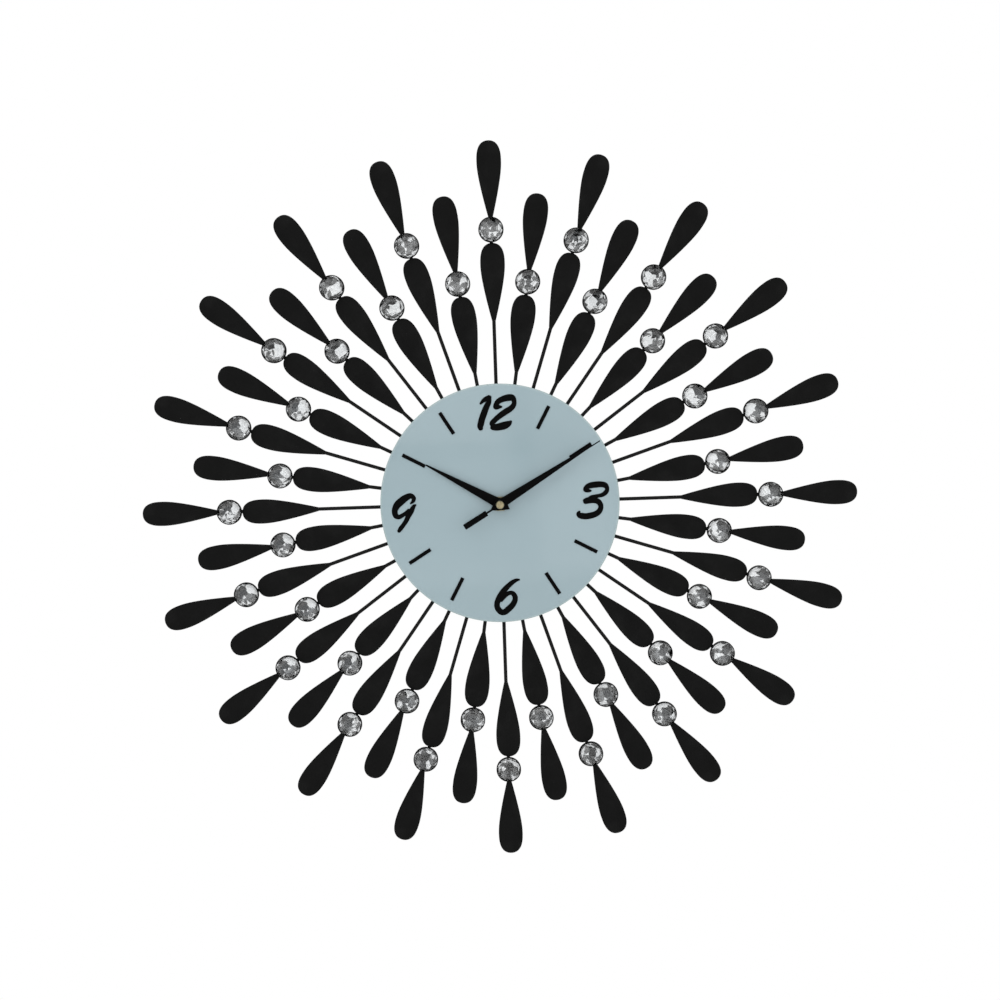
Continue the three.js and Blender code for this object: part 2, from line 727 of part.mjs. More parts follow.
const RAY_STEP = (2 * Math.PI) / RAY_PAIRS;
const longRay = geometryOf(ray(LONG_TIP));
const shortRay = geometryOf(ray(SHORT_TIP));
for (let i = 0; i < RAY_PAIRS; i++) {
  const number = String(i + 1).padStart(2, "0");
  place(`long_ray_${number}`, longRay, blackPaint, CENTRE_AXIS, -i * RAY_STEP);
  place(`short_ray_${number}`, shortRay, blackPaint, CENTRE_AXIS, -(i + 0.5) * RAY_STEP);
}

place("movement_case", movementCase(), blackPlastic);
place("movement_cover", movementCover(), blackPlastic);
place("battery", battery().translate([0, BATTERY.y, BATTERY.z]), batteryWrap);
place("stator", stator(), steel);
place("coil", coil(), copper);

place("rotor", rotor(), steel, ROTOR_AXIS);
place("intermediate_wheel", intermediateWheel(), whitePlastic, INTERMEDIATE_AXIS);
place("seconds_wheel", secondsWheel(), whitePlastic);
place("third_wheel", thirdWheel(), whitePlastic, THIRD_AXIS);
place("centre_wheel", centreWheel(), whitePlastic);
place("minute_pipe", minutePipe(), brass);
place("minute_wheel", minuteWheel(), whitePlastic, MINUTE_WHEEL_AXIS);
place("hour_wheel", hourWheel(), whitePlastic);
place("setting_knob", settingKnob(), whitePlastic, KNOB_AXIS);

place("hour_hand", hand(HOUR_HAND, HOUR_PIPE.radius), blackPaint, CENTRE_AXIS, -HOUR_ANGLE);
place("minute_hand", hand(MINUTE_HAND, MINUTE_PIPE.radius), blackPaint, CENTRE_AXIS, -MINUTE_ANGLE);
place("second_hand", secondHand(), blackPaint, CENTRE_AXIS, -SECOND_ANGLE);

const clock = new THREE.Group();
clock.add(face);

export default clock;
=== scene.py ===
"""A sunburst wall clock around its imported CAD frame: black wire rays with stamped petals and faceted
crystals in cups, a pale back-painted glass dial with brush-script numerals, and the movement behind it.

Lengths are in millimetres in the face's own frame until a mesh is made: x to the right and y up as the
clock is read, and d the distance from the wall towards the reader. Blender's axes are metres, with
+X right, +Z up and the reader towards -Y.
"""
import math
import random

import bmesh
import bpy
from mathutils import Matrix, Vector


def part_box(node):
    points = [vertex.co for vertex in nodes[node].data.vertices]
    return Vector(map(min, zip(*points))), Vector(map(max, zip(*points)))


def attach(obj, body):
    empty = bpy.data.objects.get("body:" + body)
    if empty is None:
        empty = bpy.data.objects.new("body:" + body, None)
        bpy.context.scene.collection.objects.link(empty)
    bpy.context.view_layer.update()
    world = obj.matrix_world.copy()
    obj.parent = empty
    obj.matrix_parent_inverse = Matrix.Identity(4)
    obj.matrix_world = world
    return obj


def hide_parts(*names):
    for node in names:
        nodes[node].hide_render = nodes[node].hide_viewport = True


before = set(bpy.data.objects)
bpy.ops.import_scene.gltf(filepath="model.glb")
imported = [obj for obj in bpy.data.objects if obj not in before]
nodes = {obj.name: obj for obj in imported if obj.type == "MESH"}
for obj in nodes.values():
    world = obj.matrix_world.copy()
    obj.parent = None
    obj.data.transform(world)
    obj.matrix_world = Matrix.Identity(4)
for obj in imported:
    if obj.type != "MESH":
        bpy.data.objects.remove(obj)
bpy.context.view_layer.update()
MM = 0.001


def depths(node):
    """How far a node's back and front stand from the wall."""
    low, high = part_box(node)
    return -high[1] / MM, -low[1] / MM


# ---- driving dimensions ----

RAY_PAIRS = 20
LONG_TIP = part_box("long_ray_01")[1][2] / MM
SHORT_TIP = 262.7
PETAL_LENGTH = 65
PETAL_WIDTH = 20.7
PETAL_NECK = 3.2
PETAL_SHOULDER = 16
PETAL_THICKNESS = 1.0
PETAL_CROWN = 0.45
WIRE_RADIUS = 1.5
WIRE_START = 56
WIRE_DEPTH = depths("long_ray_01")[0] + WIRE_RADIUS
PETAL_DEPTH = WIRE_DEPTH + 0.75
CUP_RADIUS = 10.6
CUP_BACK = PETAL_DEPTH - 0.4
CUP_RIM = CUP_BACK + 4.4
CUP_OVER_PETAL = 1.4
CUP_TO_PETAL = 0.3
CRYSTAL_TOP = depths("long_ray_01")[1]
CRYSTAL_RADIUS = 9.95
TABLE_RADIUS = 5.6
CROWN_SIDES = 8

DIAL_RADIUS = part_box("dial_glass")[1][0] / MM
GLASS_BACK, GLASS_FRONT = depths("dial_glass")
PRINT_ROLL = math.radians(-1.6)  # the glass is glued on a little anticlockwise of the rays
BAR_INNER = 70.9
BAR_OUTER = 92.4
BAR_WIDTH = 3.1
PRINT_HEIGHT = 0.55

HOUR_HAND_ANGLE = math.radians(-60.3)
MINUTE_HAND_ANGLE = math.radians(59.1)
SECOND_HAND_ANGLE = math.radians(59.2)
HOUR_DEPTH, MINUTE_DEPTH, SECOND_DEPTH = 38.6, 42.2, 46


# ---- mesh making ----


class Solid:
    """Points in the face's frame, and faces with a material number each."""

    def __init__(self):
        self.points = []
        self.faces = []
        self.finishes = []

    def add(self, points, faces, finish=0):
        first = len(self.points)
        self.points += [Vector(p) for p in points]
        self.faces += [[first + i for i in face] for face in faces]
        self.finishes += [finish] * len(faces)
        return self

    def piece(self, name, materials, body="root", slot=None, replaces=(), smooth=40, turn=0.0):
        """Makes the Blender object, turned clockwise about the hands' axis, and lets it ride."""
        mesh = bpy.data.meshes.new(name)
        mesh.from_pydata([(x * MM, -d * MM, y * MM) for x, y, d in self.points], [], self.faces)
        for polygon, finish in zip(mesh.polygons, self.finishes):
            polygon.material_index = finish
        tidy(mesh, smooth)
        for material in materials:
            mesh.materials.append(material)
        return settle(name, mesh, body, replaces, turn)


def tidy(mesh, smooth):
    """Joins doubled points, turns every face outwards and shades the flat bends sharp."""
    made = bmesh.new()
    made.from_mesh(mesh)
    bmesh.ops.remove_doubles(made, verts=made.verts, dist=2e-6)
    bmesh.ops.recalc_face_normals(made, faces=made.faces)
    made.to_mesh(mesh)
    made.free()
    if smooth:
        mesh.shade_smooth()
        mesh.set_sharp_from_angle(angle=math.radians(smooth))
    mesh.update()


def settle(name, mesh, body, replaces, turn=0.0):
    piece = bpy.data.objects.new(name, mesh)
    bpy.context.scene.collection.objects.link(piece)
    piece.matrix_world = Matrix.Rotation(turn, 4, "Y")
    bpy.context.view_layer.update()
    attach(piece, body)
    if replaces:
        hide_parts(*replaces)
    return piece


def lathe(solid, profile, sides, at=(0, 0), finish=0, closed=True, finishes=None):
    """Turns [radius, depth] points about the depth axis through at. A closed profile is a ring's section."""
    rows = []
    points = []
    for radius, depth in profile:
        if radius < 1e-6:
            rows.append([len(points)] * sides)
            points.append((at[0], at[1], depth))
            continue
        rows.append(list(range(len(points), len(points) + sides)))
        for k in range(sides):
            angle = 2 * math.pi * k / sides
            points.append((at[0] + radius * math.cos(angle), at[1] + radius * math.sin(angle), depth))
    pairs = list(zip(rows, rows[1:]))
    if closed:
        pairs.append((rows[-1], rows[0]))
    base = len(solid.points)
    solid.points += [Vector(p) for p in points]
    for number, (low, high) in enumerate(pairs):
        for k in range(sides):
            loop = [low[k], low[(k + 1) % sides], high[(k + 1) % sides], high[k]]
            face = [i for n, i in enumerate(loop) if i not in loop[:n]]
            if len(face) > 2:
                solid.faces.append([base + i for i in face])
                solid.finishes.append(finishes[number] if finishes else finish)
    return solid


def bands(rows, sides):
    """The faces between neighbouring rows of points, each row a ring of the same number of sides."""
    faces = []
    for i in range(rows - 1):
        for k in range(sides):
            a, b = i * sides + k, i * sides + (k + 1) % sides
            faces.append([a, b, b + sides, a + sides])
    return faces


def capped(rows, sides):
    """The bands between rows of points, with a face over each end."""
    last = (rows - 1) * sides
    return [list(range(sides))[::-1], list(range(last, last + sides))] + bands(rows, sides)


def tube(solid, path, radii, sides):
    """A round bar along a path of points, with a radius at each and closed ends."""
    path = [Vector(p) for p in path]
    points = []
    up = Vector((0, 0, 1))
    for i, point in enumerate(path):
        along = (path[min(i + 1, len(path) - 1)] - path[max(i - 1, 0)]).normalized()
        side = along.cross(up).normalized()
        over = side.cross(along).normalized()
        for k in range(sides):
            angle = 2 * math.pi * k / sides
            points.append(point + (side * math.cos(angle) + over * math.sin(angle)) * radii[i])
    return solid.add(points, capped(len(path), sides))


def bead(solid, centre, size, seed):
    """A small lump of weld metal: a ball of the given half-sizes with an uneven skin."""
    wobble = random.Random(seed)
    rings, sides = 5, 10
    points = []
    for i in range(rings + 1):
        polar = math.pi * i / rings
        for k in range(sides):
            around = 2 * math.pi * k / sides
            swell = 1 if i in (0, rings) else wobble.uniform(0.9, 1.12)
            points.append(
                (
                    centre[0] + size[0] * swell * math.sin(polar) * math.cos(around),
                    centre[1] + size[1] * swell * math.cos(polar),
                    centre[2] + size[2] * swell * math.sin(polar) * math.sin(around),
                )
            )
    return solid.add(points, bands(rings + 1, sides))


def cubic(p0, p1, p2, p3, count, last=False):
    """Points along a cubic curve, without its end unless last."""
    points = []
    for i in range(count + (1 if last else 0)):
        t = i / count
        u = 1 - t
        weights = (u * u * u, 3 * u * u * t, 3 * u * t * t, t * t * t)
        points.append(tuple(sum(w * p[n] for w, p in zip(weights, (p0, p1, p2, p3))) for n in range(2)))
    return points


def outward(outline):
    """The outward unit normal at each point of an anticlockwise outline."""
    normals = []
    for i, _ in enumerate(outline):
        ax, ay = outline[i - 1]
        bx, by = outline[(i + 1) % len(outline)]
        length = math.hypot(bx - ax, by - ay) or 1
        normals.append(((by - ay) / length, -(bx - ax) / length))
    return normals


def drawn_in(outline, levels):
    """A ring of points for each (inset, depth): the outline, moved in by the inset along its normals."""
    normals = outward(outline)
    return [
        [(x - n[0] * inset, y - n[1] * inset, depth) for (x, y), n in zip(outline, normals)]
        for inset, depth in levels
    ]


EDGE_STEPS = 2  # flats in each rounded edge of a slab
CORNER_STEPS = 6  # and in each round corner of a box


def slab(solid, outline, d0, d1, bevel):
    """A plate of an anticlockwise outline with rounded edges, between two depths."""
    quarter = [math.pi / 2 * i / EDGE_STEPS for i in range(EDGE_STEPS + 1)]
    levels = [(bevel, d0)]
    levels += [(bevel * (1 - math.sin(a)), d0 + bevel * (1 - math.cos(a))) for a in quarter]
    levels += [(bevel * (1 - math.cos(a)), d1 - bevel * (1 - math.sin(a))) for a in quarter]
    levels.append((bevel, d1))
    rings = drawn_in(outline, levels)
    return solid.add([p for ring in rings for p in ring], capped(len(rings), len(outline)))


def rounded_box(solid, x0, x1, y0, y1, d0, d1, corner, bevel):
    """A plate with round corners and rounded edges."""
    outline = []
    for cx, cy, start in (
        (x1 - corner, y0 + corner, -90), (x1 - corner, y1 - corner, 0),
        (x0 + corner, y1 - corner, 90), (x0 + corner, y0 + corner, 180),
    ):
        for i in range(CORNER_STEPS + 1):
            angle = math.radians(start + 90 / CORNER_STEPS * i)
            outline.append((cx + corner * math.cos(angle), cy + corner * math.sin(angle)))
    return slab(solid, outline, d0, d1, bevel)


# ---- materials ----


def add_node(tree, kind, **values):
    node = tree.nodes.new(kind)
    for key, value in values.items():
        setattr(node, key, value)
    return node


def set_stops(ramp, stops):
    """Gives a colour ramp its stops of (position, colour)."""
    while len(ramp.elements) < len(stops):
        ramp.elements.new(0.5)
    for element, (position, color) in zip(ramp.elements, stops):
        element.position = position
        element.color = (*color, 1)


class Nodes:
    """A material's node tree, with short ways to add what these materials share."""

    def __init__(self, name):
        self.material = bpy.data.materials.new(name)
        self.material.use_nodes = True
        self.tree = self.material.node_tree
        self.shader = self.tree.nodes["Principled BSDF"]
        self.place = self.add("ShaderNodeTexCoord").outputs["Object"]

    def add(self, kind, **values):
        return add_node(self.tree, kind, **values)

    def link(self, source, target):
        self.tree.links.new(source, target)

    def noise(self, scale, detail=3, roughness=0.55):
        """Fine mottle: scale is in turns for each metre."""
        node = self.add("ShaderNodeTexNoise")
        node.inputs["Scale"].default_value = scale
        node.inputs["Detail"].default_value = detail
        node.inputs["Roughness"].default_value = roughness
        self.link(self.place, node.inputs["Vector"])
        return node.outputs["Fac"]

    def ramp(self, source, stops):
        node = self.add("ShaderNodeValToRGB")
        set_stops(node.color_ramp, stops)
        self.link(source, node.inputs["Fac"])
        return node.outputs["Color"]

    def span(self, source, low, high, from_low=0.3, from_high=0.7):
        """Maps a mottle's usual range to low..high."""
        node = self.add("ShaderNodeMapRange")
        node.inputs["From Min"].default_value = from_low
        node.inputs["From Max"].default_value = from_high
        node.inputs["To Min"].default_value = low
        node.inputs["To Max"].default_value = high
        self.link(source, node.inputs["Value"])
        return node.outputs["Result"]

    def mix(self, factor, first, second):
        node = self.add("ShaderNodeMix", data_type="RGBA")
        self.link(factor, node.inputs["Factor"])
        for value, socket in ((first, node.inputs[6]), (second, node.inputs[7])):
            if isinstance(value, tuple):
                socket.default_value = (*value, 1)
            else:
                self.link(value, socket)
        return node.outputs[2]

    def bump(self, height, distance, strength):
        node = self.add("ShaderNodeBump")
        node.inputs["Strength"].default_value = strength
        node.inputs["Distance"].default_value = distance
        self.link(height, node.inputs["Height"])
        self.link(node.outputs["Normal"], self.shader.inputs["Normal"])

    def set(self, **values):
        for key, value in values.items():
            socket = self.shader.inputs[key.replace("_", " ")]
            if isinstance(value, bpy.types.NodeSocket):
                self.link(value, socket)
            elif isinstance(value, tuple):
                socket.default_value = (*value, 1)
            else:
                socket.default_value = value
        return self

    def gloss(self, specular=0.5, ior=1.5, coat=0.0, coat_roughness=0.1):
        self.shader.inputs["Specular IOR Level"].default_value = specular
        self.shader.inputs["IOR"].default_value = ior
        self.shader.inputs["Coat Weight"].default_value = coat
        self.shader.inputs["Coat Roughness"].default_value = coat_roughness


def powder_coat(name, color, grain=2600):
    """Satin black powder coat: a fine orange peel, uneven gloss and thin paint on the edges."""
    n = Nodes(name)
    worn = 0.35
    lighter = tuple(min(1, c * 1.5 + 0.001) for c in color)
    darker = tuple(c * 0.8 for c in color)
    tone = n.ramp(n.noise(34, 4), [(0.32, darker), (0.5, color), (0.72, lighter)])
    edge = n.add("ShaderNodeNewGeometry").outputs["Pointiness"]
    rubbed = n.span(edge, 0.0, worn, 0.53, 0.6)
    n.set(Base_Color=n.mix(rubbed, tone, tuple(c * 2.6 + 0.002 for c in color)))
    n.set(Roughness=n.span(n.noise(120, 2), 0.56, 0.72))
    n.gloss(specular=0.03)
    n.bump(n.noise(grain, 2), 0.00006, 0.5)
    return n.material


def painted_back(name):
    """The dial's back: brushed-on paint, thicker in places, with a chalky skin."""
    n = Nodes(name)
    streak = n.noise(60, 5)
    coat = n.ramp(streak, [(0.3, (0.33, 0.40, 0.42)), (0.7, (0.43, 0.50, 0.52))])
    n.set(Base_Color=coat, Roughness=n.span(streak, 0.6, 0.8))
    n.bump(n.noise(420, 3), 0.0001, 0.5)
    n.gloss(specular=0.3)
    return n.material


RIM_START, RIM_FULL = 0.0998, 0.1008  # metres from the axis, over which the dial's pale rim comes in


def painted_face(name):
    """The dial's face: pale paint seen through the glass, paler at the rim."""
    n = Nodes(name)
    paint = n.ramp(n.noise(9, 3), [(0.3, (0.262, 0.340, 0.368)), (0.7, (0.272, 0.353, 0.383))])
    # the distance from the axis, which runs along the object's y
    along = n.add("ShaderNodeSeparateXYZ")
    n.link(n.place, along.inputs[0])
    reach = n.add("ShaderNodeVectorMath", operation="LENGTH")
    flat = n.add("ShaderNodeCombineXYZ")
    n.link(along.outputs[0], flat.inputs[0])
    n.link(along.outputs[2], flat.inputs[2])
    n.link(flat.outputs[0], reach.inputs[0])
    rim = n.span(reach.outputs["Value"], 0.0, 1.0, RIM_START, RIM_FULL)
    n.set(Base_Color=n.mix(rim, paint, (0.31, 0.39, 0.40)))
    n.set(Roughness=n.span(n.noise(40, 3), 0.1, 0.16))
    n.gloss(specular=0.35, coat=0.2, coat_roughness=0.03)
    n.bump(n.noise(16, 1), 0.00002, 0.2)
    return n.material


def glass_edge_material():
    n = Nodes("ground_glass_edge")
    band = n.noise(300, 4)
    n.set(Base_Color=n.ramp(band, [(0.3, (0.148, 0.222, 0.215)), (0.7, (0.252, 0.333, 0.326))]))
    n.set(Roughness=n.span(band, 0.18, 0.32))
    n.gloss(specular=0.5, coat=0.3)
    return n.material


def crystal_glass():
    n = Nodes("crystal_glass")
    n.set(Base_Color=(0.97, 0.98, 0.985), Transmission_Weight=1.0)
    n.set(Roughness=n.span(n.noise(900, 2), 0.0, 0.025))
    n.gloss(specular=0.2, ior=1.53)
    return n.material


def crystal_foil(name, dark, light, rough, metallic):
    """Creased foil behind a crystal, in one of its tones from dark to light grey, which are partly painted
    reflections.
    """
    n = Nodes(name)
    crease = n.noise(210, 2, 0.5)
    n.set(Base_Color=n.ramp(crease, [(0.36, dark), (0.6, light)]), Metallic=metallic)
    n.set(Roughness=n.span(crease, rough, rough + 0.08))
    n.gloss(specular=0.5 * metallic)
    n.bump(crease, 0.0006, 0.35)
    return n.material


JET, JET_LIGHTER = (0.0005, 0.0005, 0.0005), (0.0016, 0.0016, 0.0017)


def printed_black():
    """Thick screen-printed ink, a little uneven."""
    n = Nodes("dial_print")
    n.set(Base_Color=n.ramp(n.noise(700, 3), [(0.3, JET), (0.75, JET_LIGHTER)]))
    n.set(Roughness=n.span(n.noise(260, 3), 0.3, 0.5))
    n.gloss(specular=0.035)
    n.bump(n.noise(900, 3), 0.00008, 0.4)
    return n.material


def hand_enamel():
    """Baked enamel on the hands, with a finer skin than the print's."""
    n = Nodes("hand_enamel")
    n.set(Base_Color=n.ramp(n.noise(90, 4), [(0.3, JET), (0.75, JET_LIGHTER)]))
    n.set(Roughness=n.span(n.noise(500, 2), 0.42, 0.56))
    n.gloss(specular=0.035)
    n.bump(n.noise(3000, 2), 0.00003, 0.35)
    return n.material


def metal(name, dark, light, rough_low, rough_high, grain=(1.0, 1.0, 1.0), scale=500):
    """Turned or rolled metal, its grain stretched along one axis."""
    n = Nodes(name)
    stretch = n.add("ShaderNodeMapping")
    stretch.inputs["Scale"].default_value = grain
    n.link(n.place, stretch.inputs["Vector"])
    n.place = stretch.outputs["Vector"]
    streak = n.noise(scale, 5, 0.65)
    n.set(Base_Color=n.ramp(streak, [(0.3, dark), (0.7, light)]), Metallic=1.0)
    n.set(Roughness=n.span(streak, rough_low, rough_high))
    n.bump(streak, 0.00003, 0.25)
    return n.material


def plastic(name, dark, light, rough, grain=1800, height=0.00008, coat=0.0):
    """Moulded plastic with a fine spark-eroded grain."""
    n = Nodes(name)
    n.set(Base_Color=n.ramp(n.noise(45, 4), [(0.3, dark), (0.7, light)]))
    n.set(Roughness=n.span(n.noise(300, 3), *rough))
    n.gloss(specular=0.4, coat=coat)
    n.bump(n.noise(grain, 3), height, 0.5)
    return n.material


IRON = powder_coat("black_iron", (0.0063, 0.0063, 0.0062))
HUB_IRON = powder_coat("hub_iron", (0.009, 0.009, 0.009), grain=1900)
GLASS_FACE = painted_face("painted_glass_face")
GLASS_PAINT = painted_back("painted_glass_back")
GLASS_EDGE = glass_edge_material()
CRYSTAL_GLASS = crystal_glass()
# the bright and dark foils are partly painted light: painted highlights and painted reflections in the
# crystals
CRYSTAL_FOILS = [
    crystal_foil("crystal_foil_bright", (0.97, 0.97, 0.97), (1.0, 1.0, 1.0), 0.06, 0.1),
    crystal_foil("crystal_foil_grey", (0.055, 0.055, 0.055), (0.17, 0.17, 0.17), 0.14, 0.5),
    crystal_foil("crystal_foil_dark", (0.001, 0.001, 0.001), (0.006, 0.006, 0.006), 0.10, 0.0),
]
PRINT = printed_black()
ENAMEL = hand_enamel()
BRASS = metal("turned_brass", (0.222, 0.189, 0.111), (0.319, 0.278, 0.174), 0.22, 0.34, scale=260)
STEEL = metal("rolled_steel", (0.38, 0.39, 0.40), (0.62, 0.63, 0.64), 0.25, 0.42, (1, 1, 8), 260)
COPPER = metal("copper_winding", (0.30, 0.10, 0.04), (0.62, 0.27, 0.12), 0.25, 0.45, (26, 1, 1), 300)
NICKEL = metal("nickelled_spring", (0.55, 0.54, 0.52), (0.78, 0.77, 0.74), 0.14, 0.28, scale=800)
CASE = plastic("case_plastic", (0.0145, 0.0145, 0.015), (0.021, 0.021, 0.0215), (0.38, 0.52))
COVER = plastic("cover_plastic", (0.017, 0.017, 0.0175), (0.024, 0.024, 0.025), (0.45, 0.6), 1300, 0.00014)
NYLON = plastic("gear_nylon", (0.70, 0.68, 0.62), (0.82, 0.81, 0.76), (0.35, 0.5), 900, 0.00004)
WRAP = plastic("battery_wrap", (0.035, 0.045, 0.06), (0.05, 0.062, 0.08), (0.2, 0.32), 500, 0.00002, 0.4)
RUBBER = plastic("clear_rubber_pad", (0.30, 0.31, 0.31), (0.42, 0.43, 0.43), (0.55, 0.7), 700, 0.0001)


# ---- rays ----


def petal_outline():
    """A teardrop along +y from its neck at y = 0, anticlockwise, starting at the neck's right corner."""
    half = PETAL_WIDTH / 2
    neck = PETAL_NECK / 2
    widest = PETAL_LENGTH - PETAL_SHOULDER
    side = cubic(
        (neck, 0), (half * 1.05, PETAL_LENGTH * 0.56),
        (half, widest - PETAL_SHOULDER * 0.29), (half, widest),
        14,
    )
    end = cubic(
        (half, widest), (half, widest + PETAL_SHOULDER * 0.8), (half * 0.5, PETAL_LENGTH),
        (0, PETAL_LENGTH),
        14,
        last=True,
    )
    right = side + end
    return right + [(-x, y) for x, y in reversed(right[:-1])]


def petal(solid, start, lean):
    """A stamped petal: rolled edges, a slightly crowned face and a flat back."""
    outline = petal_outline()
    back = PETAL_DEPTH
    front = back + PETAL_THICKNESS
    widest = PETAL_LENGTH - PETAL_SHOULDER
    half = PETAL_WIDTH / 2
    rolled_edge = [
        (0.3, back), (0.08, back + 0.1), (0, back + 0.3), (0, front - 0.4),
        (0.1, front - 0.15), (0.4, front),
    ]
    rings = drawn_in(outline, rolled_edge)
    top = rings[-1]
    for share in (0.86, 0.68, 0.46, 0.22, 0.0):
        ring = []
        for x, y, depth in top:
            spine = min(max(y, 0.4), widest)
            breadth = half if y > widest else abs(x)
            crown = PETAL_CROWN * breadth / half * (1 - share * share)
            ring.append((x * share, spine + (y - spine) * share, depth + crown))
        rings.append(ring)
    tilt = Matrix.Rotation(lean, 2)
    points = []
    for ring in rings:
        for x, y, depth in ring:
            across, along = tilt @ Vector((x, y))
            points.append((across, along + start, depth))
    flat_back = list(range(len(outline)))[::-1]
    return solid.add(points, [flat_back] + bands(len(rings), len(outline)))


def ray_places(tip):
    """Where the outer petal's neck, the cup's centre and the inner petal's neck are along a ray."""
    outer_neck = tip - PETAL_LENGTH
    cup = outer_neck - CUP_RADIUS + CUP_OVER_PETAL
    inner_neck = cup - CUP_RADIUS - CUP_TO_PETAL - PETAL_LENGTH
    return outer_neck, cup, inner_neck


def ray_iron(tip, seed):
    """The wire, its two petals, and the cup, with the petal's tongue that comes in under the crystal."""
    outer_neck, cup, inner_neck = ray_places(tip)
    solid = Solid()
    lean = random.Random(seed)
    petal(solid, inner_neck, math.radians(lean.uniform(-0.7, 0.7)))
    petal(solid, outer_neck, math.radians(lean.uniform(-0.7, 0.7)))
    end = outer_neck + 8
    wire = [
        (0, WIRE_START, WIRE_DEPTH), (0, WIRE_START + 0.4, WIRE_DEPTH),
        (0, end - 0.6, WIRE_DEPTH), (0, end, WIRE_DEPTH),
    ]
    full = WIRE_RADIUS
    tube(solid, wire, [full * 0.8, full, full, full * 0.6], 14)
    profile = [
        (0, CUP_BACK), (9.2, CUP_BACK), (10.0, CUP_BACK + 0.15), (10.45, CUP_BACK + 0.55),
        (CUP_RADIUS, CUP_BACK + 1.1), (CUP_RADIUS, CUP_RIM - 0.35),
        (CUP_RADIUS - 0.1, CUP_RIM - 0.08), (CUP_RADIUS - 0.3, CUP_RIM),
        (CUP_RADIUS - 0.5, CUP_RIM - 0.1), (CUP_RADIUS - 0.6, CUP_RIM - 0.4),
        (CUP_RADIUS - 0.6, CUP_BACK + 1.4), (9.0, CUP_BACK + 0.8), (0, CUP_BACK + 0.8),
    ]
    lathe(solid, profile, 56, at=(0, cup), closed=False)
    tongue = [(-1.5, cup + 3.8), (1.5, cup + 3.8), (2.5, cup + 9.8), (-2.5, cup + 9.8)]
    slab(solid, tongue, CUP_RIM - 0.95, CUP_RIM - 0.65, 0.08)
    # spot welds: the petals on the back of the wire, and the wire on the hub's rim
    for i, y in enumerate((inner_neck + 3, inner_neck + 26, outer_neck + 3.5)):
        for side in (-1, 1):
            bead(solid, (side * 1.05, y, PETAL_DEPTH - 0.1), (0.75, 2.2, 0.55), seed + 10 * i + side)
    for side in (-1, 1):
        bead(solid, (side * 1.1, 76, WIRE_DEPTH - 0.9), (0.8, 2.6, 0.7), seed + 50 + side)
    return solid


def crystal(cup, seed, ray_turn):
    """A round crystal: a clear faceted crown over a creased silver foil."""
    solid = Solid()
    girdle = CUP_RIM - 0.15
    back = CUP_RIM - 0.55
    height = CRYSTAL_TOP - girdle
    star_radius = (CRYSTAL_RADIUS + TABLE_RADIUS) / 2 * 0.985
    reach = star_radius * math.cos(math.pi / 8)
    star_height = height * (CRYSTAL_RADIUS - reach) / (CRYSTAL_RADIUS - TABLE_RADIUS)
    draw = random.Random(seed)
    spin = draw.uniform(0, math.pi / 4)

    def on(radius, eighths, depth):
        angle = spin + math.pi / 4 * eighths
        return (radius * math.cos(angle), cup + radius * math.sin(angle), depth)

    sides, corners = CROWN_SIDES, 2 * CROWN_SIDES
    points = [on(TABLE_RADIUS, k + 0.5, CRYSTAL_TOP) for k in range(sides)]
    points += [on(star_radius, k, girdle + star_height) for k in range(sides)]
    points += [on(CRYSTAL_RADIUS, j / 2, girdle) for j in range(corners)]
    points += [on(CRYSTAL_RADIUS, j / 2, back) for j in range(corners)]
    star, rim, foot = sides, 2 * sides, 2 * sides + corners  # where each row starts after the table's
    faces = [list(range(sides)), [foot + j for j in reversed(range(corners))]]
    for k in range(sides):
        before, after = (k - 1) % sides, (k + 1) % sides
        left, corner, right = (rim + (2 * k + step) % corners for step in (-1, 0, 1))
        faces.append([before, star + k, k])
        # a kite in two halves, and a facet on each side of the star's foot
        faces.append([k, star + k, right])
        faces.append([k, right, star + after])
        faces.append([star + k, corner, right])
        faces.append([star + k, left, corner])
    for j in range(corners):
        after = (j + 1) % corners
        faces.append([rim + j, foot + j, foot + after, rim + after])
    solid.add(points, faces)
    foil_dish(solid, cup, back, spin, draw, ray_turn)
    return solid


# rings of the foil's creases: radius, corners, and how far in front of the crown's back
FOIL_RINGS = ((2.4, 5, -2.4), (5.0, 8, -2.1), (7.6, 12, -1.2), (9.75, 18, -0.2))
FOIL_MIDDLE = -2.7
FOIL_WANDER, FOIL_RUCK = 0.4, 0.3  # how unevenly the inner rings lie, across and in depth


def foil_dish(solid, cup, back, spin, draw, ray_turn):
    """A shallow dish of flat creases below the crown, some dull and some bright, with a painted reflection
    and a painted highlight among them.
    """
    foil = [(0, cup, back + FOIL_MIDDLE)]
    for number, (radius, sides, rise) in enumerate(FOIL_RINGS):
        inner = number < len(FOIL_RINGS) - 1
        for k in range(sides):
            angle = 2 * math.pi * (k + 0.5 * (number % 2)) / sides + spin
            r = radius + (draw.uniform(-FOIL_WANDER, FOIL_WANDER) if inner else 0)
            depth = back + rise + (draw.uniform(-FOIL_RUCK, FOIL_RUCK) if inner else 0)
            foil.append((r * math.cos(angle), cup + r * math.sin(angle), depth))
    middle_sides = FOIL_RINGS[0][1]
    creases = [[0, 1 + k, 1 + (k + 1) % middle_sides] for k in range(middle_sides)]
    first = 1
    for (_, inner, _), (_, outer, _) in zip(FOIL_RINGS, FOIL_RINGS[1:]):
        creases += stitch(foil, first, inner, first + inner, outer, cup)
        first += inner
    base = len(solid.points)
    solid.points += [Vector(p) for p in foil]
    upright = Matrix.Rotation(-ray_turn, 2)
    outer = upright @ Vector((0, 1))
    for crease in creases:
        x = sum(foil[i][0] for i in crease) / 3
        y = sum(foil[i][1] for i in crease) / 3 - cup
        solid.faces.append([base + i for i in crease])
        # each crease's foil: a random tone, with the painted reflection and the painted highlight in their
        # places
        solid.finishes.append(foil_tone_and_painted_light(upright @ Vector((x, y)) / CRYSTAL_RADIUS, outer, draw))


